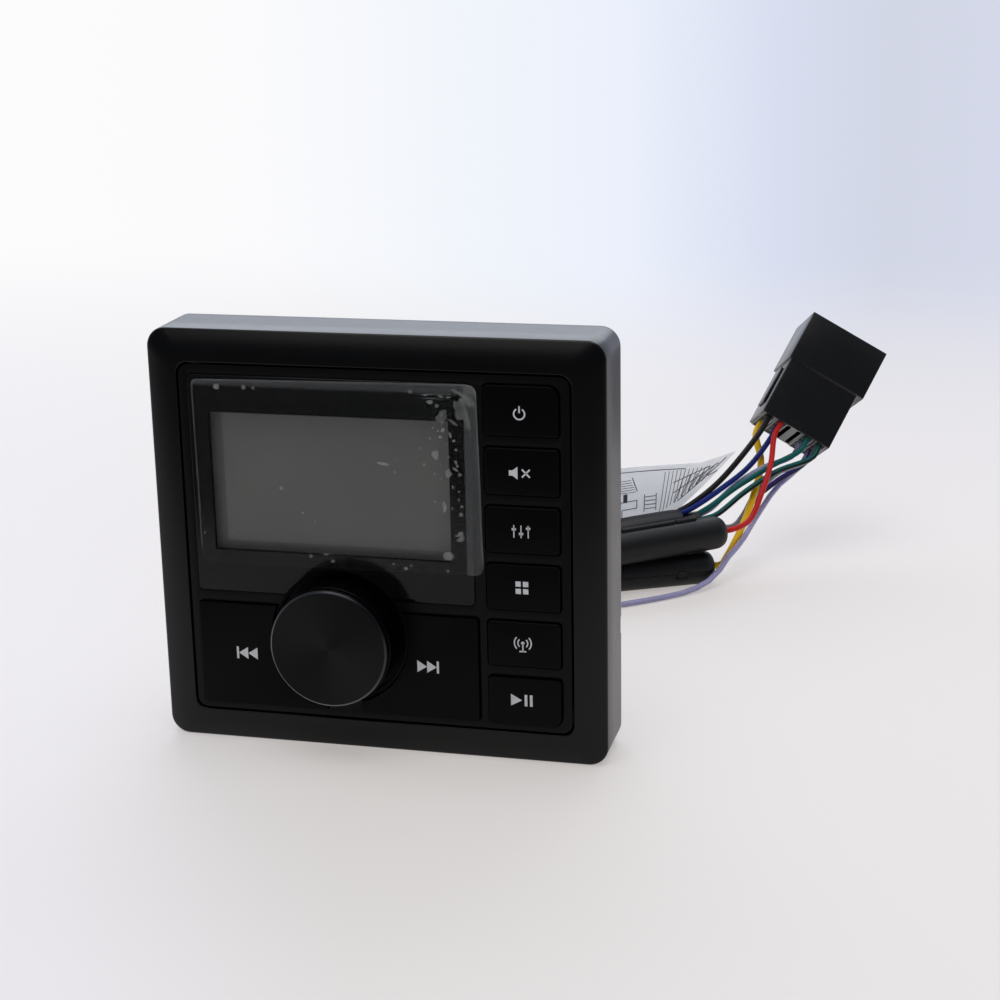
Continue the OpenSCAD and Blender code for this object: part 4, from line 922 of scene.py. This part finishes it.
def screw_tree():
    """Pan heads with a cross recess, one at each point of the incoming mesh, along Y."""
    tree = bpy.data.node_groups.new("screw_heads", "GeometryNodeTree")

    def socket(name, kind="Float", way="INPUT"):
        return tree.interface.new_socket(name=name, in_out=way, socket_type="NodeSocket" + kind)

    socket("Spots", "Geometry")
    sizes = {name: socket(name) for name in ("Head Radius", "Head Height", "Recess Length", "Recess Width")}
    socket("Geometry", "Geometry", "OUTPUT")
    nodes = Nodes(tree)
    given = tree.nodes.new("NodeGroupInput").outputs
    spots, radius, height, long, wide = (Tone(nodes, given[name]) for name in ("Spots", *sizes))

    def add(kind, inputs, **settings):
        return nodes.node("GeometryNode" + kind, inputs, **settings)

    def vector(**sides):
        return nodes.node("ShaderNodeCombineXYZ", sides)

    half = height * 0.5
    head = add("MeshCylinder", {"Vertices": 32, "Radius": radius, "Depth": height})
    dome = {"Vertices": 32, "Radius Bottom": radius, "Radius Top": radius * 0.72, "Depth": half}
    raised = add("Transform", {"Geometry": add("MeshCone", dome), "Translation": vector(Z=half)})
    whole = add("MeshBoolean", {"Mesh 2": [head, raised]}, operation="UNION")
    bars = [vector(X=x, Y=y, Z=height) for x, y in ((long, wide), (wide, long))]
    cross = add("JoinGeometry", {"Geometry": [add("MeshCube", {"Size": size}) for size in bars]})
    top = add("Transform", {"Geometry": cross, "Translation": vector(Z=height)})
    carved = add("MeshBoolean", {"Mesh 1": whole, "Mesh 2": top}, operation="DIFFERENCE")
    laid = add("Transform", {"Geometry": carved, "Rotation": (radians(-90), 0, 0)})
    limits = {0: (0, 0, 0), 1: (0, 3.1, 0), "Seed": 7}
    turn = nodes.node("FunctionNodeRandomValue", limits, data_type="FLOAT_VECTOR")
    spread = add("InstanceOnPoints", {"Points": spots, "Instance": laid, "Rotation": turn})
    real = add("RealizeInstances", {"Geometry": spread})
    plated = add("SetMaterial", {"Geometry": real, "Material": FINISH["steel"]})
    nodes.put(tree.nodes.new("NodeGroupOutput").inputs["Geometry"], plated)
    return tree, sizes


def screws(name, spots, y, height, tree, sizes):
    radius = 2.45
    obj = make(name, ([(x, y, z) for x, z in spots], []), mend=False)
    maker = obj.modifiers.new("screws", "NODES")
    maker.node_group = tree
    for size, value in zip(sizes.values(), (radius, height, radius * 1.15, radius * 0.24)):
        maker[size.identifier] = value * MM
    finished(baked(obj), "steel", slot="bare_steel", crease=30)


tree, sizes = screw_tree()
corners = [(x, z) for x in (-50.2, 50.2) for z in (15.2, 106.2)]
screws("case_screw_heads", corners, 0.8, 2.1, tree, sizes)
screws("fin_screw_heads", [(24, 64.9), (24, 95.9)], 29.45, 1.5, tree, sizes)


def washer(r0, r1, t0, t1, sides, centre):
    return turned([(r0, t0), (r1, t0), (r1, t1), (r0, t1)], sides, centre)


# Insulators and spring contacts inside the round sockets
antenna = (-30, 88)
white, red = ([washer(1.65, 3.1, -52.3, -51.5, 32, (x, h)) for h in (52, 66)] for x in (-36, -23))
white.append(washer(1.4, 3.6, -45.9, -45.1, 32, antenna))
finished(make("red_jack_rings", *red), "red_ring")
finished(make("white_jack_rings", *white), "white_ring")
finished(make("antenna_contact", washer(0.9, 1.35, -49.5, -45.2, 24, antenna)), "spring")


# Connector: the end where the wires go in, and the latch

def connector_box(u, v, w):
    return loft([[put_at(CONNECTOR, a, b, c) for a, c in bar(*u, *w)] for b in v])


# Grid of cavity walls where the wires go in, light grey as a painted reflection, with a dark plate in each
# cell as painted shade for the cavity
face = -BLOCK_LEN
inner, low, high = face + 0.5, -20.3, -1.2
bars, shade_plates = [], []
for u in COLUMNS:
    for wall in (u - 2.0, u + 2.0):
        bars.append(connector_box((wall - 0.22, wall + 0.22), (face - 0.3, inner), (low, high)))
    for w in ROWS:
        bars.append(connector_box((u - 2.1, u + 2.1), (face - 0.25, inner), (w - 2.6, w - 2.2)))
        shade_plates.append(connector_box((u - 1.6, u + 1.6), (face - 0.06, inner), (w - 1.7, w + 1.5)))
finished(make("cavity_grid", *bars), "grid", slot="connector_plastic", crease=30)
finished(make("cavity_painted_shade", *shade_plates), "cavity", slot="connector_plastic", crease=30)

dressed("locking_latch", "connector_latch", 0.25, "connector", "connector_plastic", 2)


# Folded leaflet behind the sleeve, with a plain generic diagram

def tag_point(x, z, off=0.0):
    """A point on the curved leaflet, off its front by so many millimetres."""
    bow = 1.3 * sin(x * 0.09) + 0.9 * sin(z * 0.11 + x * 0.04) - 0.05 * max(0, x - 30)
    c, s = cos(radians(30)), sin(radians(30))
    out = off - bow
    return Vector((32.2 + c * x + s * out, 143.7 + s * x - c * out, 0.12 + z))


columns, rows = 40, 24
points = []
for i in range(columns + 1):
    x = -2 + 51.4 * i / columns
    low = np.interp(x, (-2, 4, 32.6, 49.6), (0, 0, 26.7, 43.1))
    high = np.interp(x, (-2, 23, 36.3, 49.6), (40.6, 39.8, 39.7, 43.1))
    points += [tag_point(x, low + (high - low) * j / rows) for j in range(rows + 1)]
corners = [i * (rows + 1) + j for i in range(columns) for j in range(rows)]
obj = make("wiring_leaflet", (points, [[a, a + 1, a + rows + 2, a + rows + 1] for a in corners]))
thick = obj.modifiers.new("paper", "SOLIDIFY")
thick.thickness, thick.offset = 0.24 * MM, 0
finished(baked(obj), "paper", slot="paper", crease=60, node="wiring_tag")


def ink_line(x0, z0, x1, z1, wide=0.28):
    """Printed line that follows the leaflet."""
    dx, dz = x1 - x0, z1 - z0
    long = hypot(dx, dz)
    steps = max(2, int(long / 1.5))
    nx, nz = -dz / long * wide / 2, dx / long * wide / 2
    loops = []
    for k in range(steps + 1):
        x, z = x0 + dx * k / steps, z0 + dz * k / steps
        corners = ((-1, 0.1), (1, 0.1), (1, 0.19), (-1, 0.19))
        loops.append([tag_point(x + side * nx, z + side * nz, off) for side, off in corners])
    return loft(loops)


lines = [
    (0, 38.6, 31, 37.9), (6, 18.0, 6, 27), (6, 27, 13, 27.6), (13, 27.6, 13, 24.6),
    (13, 24.6, 7.4, 24.2), (7.4, 24.2, 7.4, 18.2), (15.8, 23, 15.8, 29.5), (20.2, 23.2, 20.2, 29.7),
    (26.5, 29.2, 43, 39.4), (26.5, 33.0, 40, 38.4), (28, 26, 46, 41.2), (1.2, 30, 1.2, 36, 0.35),
    (13, 31, 11, 36.2, 0.35), (8.5, 30.2, 8.5, 27, 1.6), (3.2, 31.5, 3.2, 35, 1.8),
]
lines += [(16, 24 + 1.5 * k, 20, 24.2 + 1.5 * k) for k in range(4)]
lines += [(27 + 2.4 * k, 25.4 + 1.9 * k, 30.5 + 2.4 * k, 35.6 + 0.2 * k) for k in range(6)]
lines += [(21.5 + 1.3 * k, 21.5 + 1.05 * k, 23.5 + 1.5 * k, 37.2 + 0.1 * k, 0.2) for k in range(14)]
lines += [(1.5, 30.5 + 0.9 * k, 12.5 - 0.4 * k, 30.8 + 0.9 * k, 0.2) for k in range(6)]
for reach in (3.2, 4.6, 6.0):
    dial = bend(10, 15.5, reach, 20, 160, 5)
    lines += [(*one, *two, 0.22) for one, two in zip(dial, dial[1:])]
finished(make("leaflet_diagram", *(ink_line(*line) for line in lines)), "ink", crease=30)


# Parts inside keep their solids and get their finishes

INSIDE = {
    "foam": "mounting_gasket", "display": "lcd_panel", "light_guide": "lcd_backlight",
    "steel": "lcd_frame encoder_nut key_board_screws main_board_screws case_screws heat_sink_screws",
    "shaft": "encoder_shaft", "nylon": "encoder_plunger board_connector harness_header",
    "encoder": "encoder_body", "seal": "key_seal", "board": "key_board main_board",
    "switch": "tactile_switches line_out_block", "capacitor": "capacitors", "chip": "amplifier_chip",
    "glass": "fuses", "spring": "fuse_clips connector_pins",
}
for finish, names in INSIDE.items():
    for node in names.split():
        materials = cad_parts[node].data.materials
        materials.clear()
        materials.append(FINISH[finish])


# Floor, world and lamps

def floor_finish():
    """Pale table that takes shadows near the object, with a painted shadow in front of it, and fades to a
    bright room far away.
    """
    paint = Paint("pale_floor", base_color=(0.84, 0.81, 0.79), roughness=0.6, specular_ior_level=0.25)
    x, y, _ = paint.parts(paint.place())
    # From left to right of the photograph, seen from its camera
    across = ((x - 0.166) / (y + 0.54) + 0.53) * 1.9
    # Near the object the table is lighter and cooler to the left, and darker in front of the unit as a
    # painted shadow on top of the real one.
    near_tone_and_shadow = paint.node("ShaderNodeValToRGB", {0: across}, stops=[
        (0, (0.875, 0.85, 0.88)), (0.35, (0.81, 0.77, 0.745)), (0.65, (0.82, 0.775, 0.75)),
        (1, (0.83, 0.78, 0.76)),
    ])
    far = paint.node("ShaderNodeValToRGB", {0: across}, stops=[
        (0, (0.98, 0.975, 0.98)), (0.3, (0.96, 0.96, 0.975)), (0.53, (0.87, 0.91, 0.97)),
        (0.66, (0.83, 0.87, 0.975)), (0.8, (0.69, 0.73, 0.87)), (0.9, (0.645, 0.675, 0.79)),
        (1, (0.66, 0.69, 0.81)),
    ])
    kinds = ("Is Camera Ray", "Is Glossy Ray", "Is Transmission Ray")
    camera, glossy, through = (paint.node("ShaderNodeLightPath", output=kind) for kind in kinds)
    # Painted shade: what glossy surfaces see of the floor in front of the unit is darkened, standing for dark
    # things in front of it, so that its face reflects dark.
    reflection_shade = glossy * y.rising(-0.04, -0.34)
    tone = paint.mix(reflection_shade * 0.88, paint.mix(y.rising(0.12, 0.85), near_tone_and_shadow, far), (0.0, 0.0, 0.0))
    glow = paint.node("ShaderNodeEmission", {"Color": tone})
    share = ((camera + glossy + through).least(1) * (0.5 + y.rising(0.2, 0.9) * 0.5)).most(reflection_shade)
    surface = Tone(paint, paint.shader.outputs[0])
    mixed = paint.node("ShaderNodeMixShader", {0: share, 1: surface, 2: glow})
    paint.put(paint.tree.nodes["Material Output"].inputs["Surface"], mixed)
    return paint.material


def lamp(name, place, aim, wide, tall, watts, colour):
    data = bpy.data.lights.new(name, "AREA")
    data.shape, data.size, data.size_y, data.energy, data.color = "RECTANGLE", wide, tall, watts, colour
    obj = linked(name, data)
    obj.location = place
    obj.rotation_euler = (Vector(aim) - Vector(place)).to_track_quat("-Z", "Y").to_euler()


mesh = bpy.data.meshes.new("floor")
mesh.from_pydata([(*spot, 0) for spot in bar(-6, 6, -4, 9)], [], [[0, 1, 2, 3]])
mesh.materials.append(floor_finish())
linked("floor", mesh)

# World that is plain to the camera, and lights the object from beyond more than from the front
world = bpy.data.worlds.new("soft_room")
world.use_nodes = True
bpy.context.scene.world = world
nodes = Nodes(world.node_tree)
_, away, _ = nodes.parts(nodes.node("ShaderNodeTexCoord", output="Generated"))
ends = {"Value": away, "From Min": -0.5, "From Max": 0.7, "To Min": 0.13, "To Max": 0.94}
room = nodes.node("ShaderNodeMapRange", ends, interpolation_type="SMOOTHSTEP")
seen = nodes.node("ShaderNodeLightPath", output="Is Camera Ray")
background = nodes.tree.nodes["Background"].inputs
nodes.put(background["Color"], (0.77, 0.83, 1.0))
nodes.put(background["Strength"], nodes.node("ShaderNodeMix", {0: seen, 2: room, 3: 1.0}))

lamp("window", (-0.3, 1.5, 1.1), (0, 0, 0.05), 1.8, 1.2, 14, (0.90, 0.95, 1.0))
lamp("ceiling", (0.0, -0.2, 1.6), (0, 0, 0.05), 1.2, 1.2, 11, (1, 0.98, 0.95))
lamp("room", (-0.3, -1.3, 1.2), (0.05, 0.1, 0.06), 0.9, 0.9, 3.0, (1, 0.97, 0.93))
bpy.context.scene.view_settings.view_transform = "Standard"
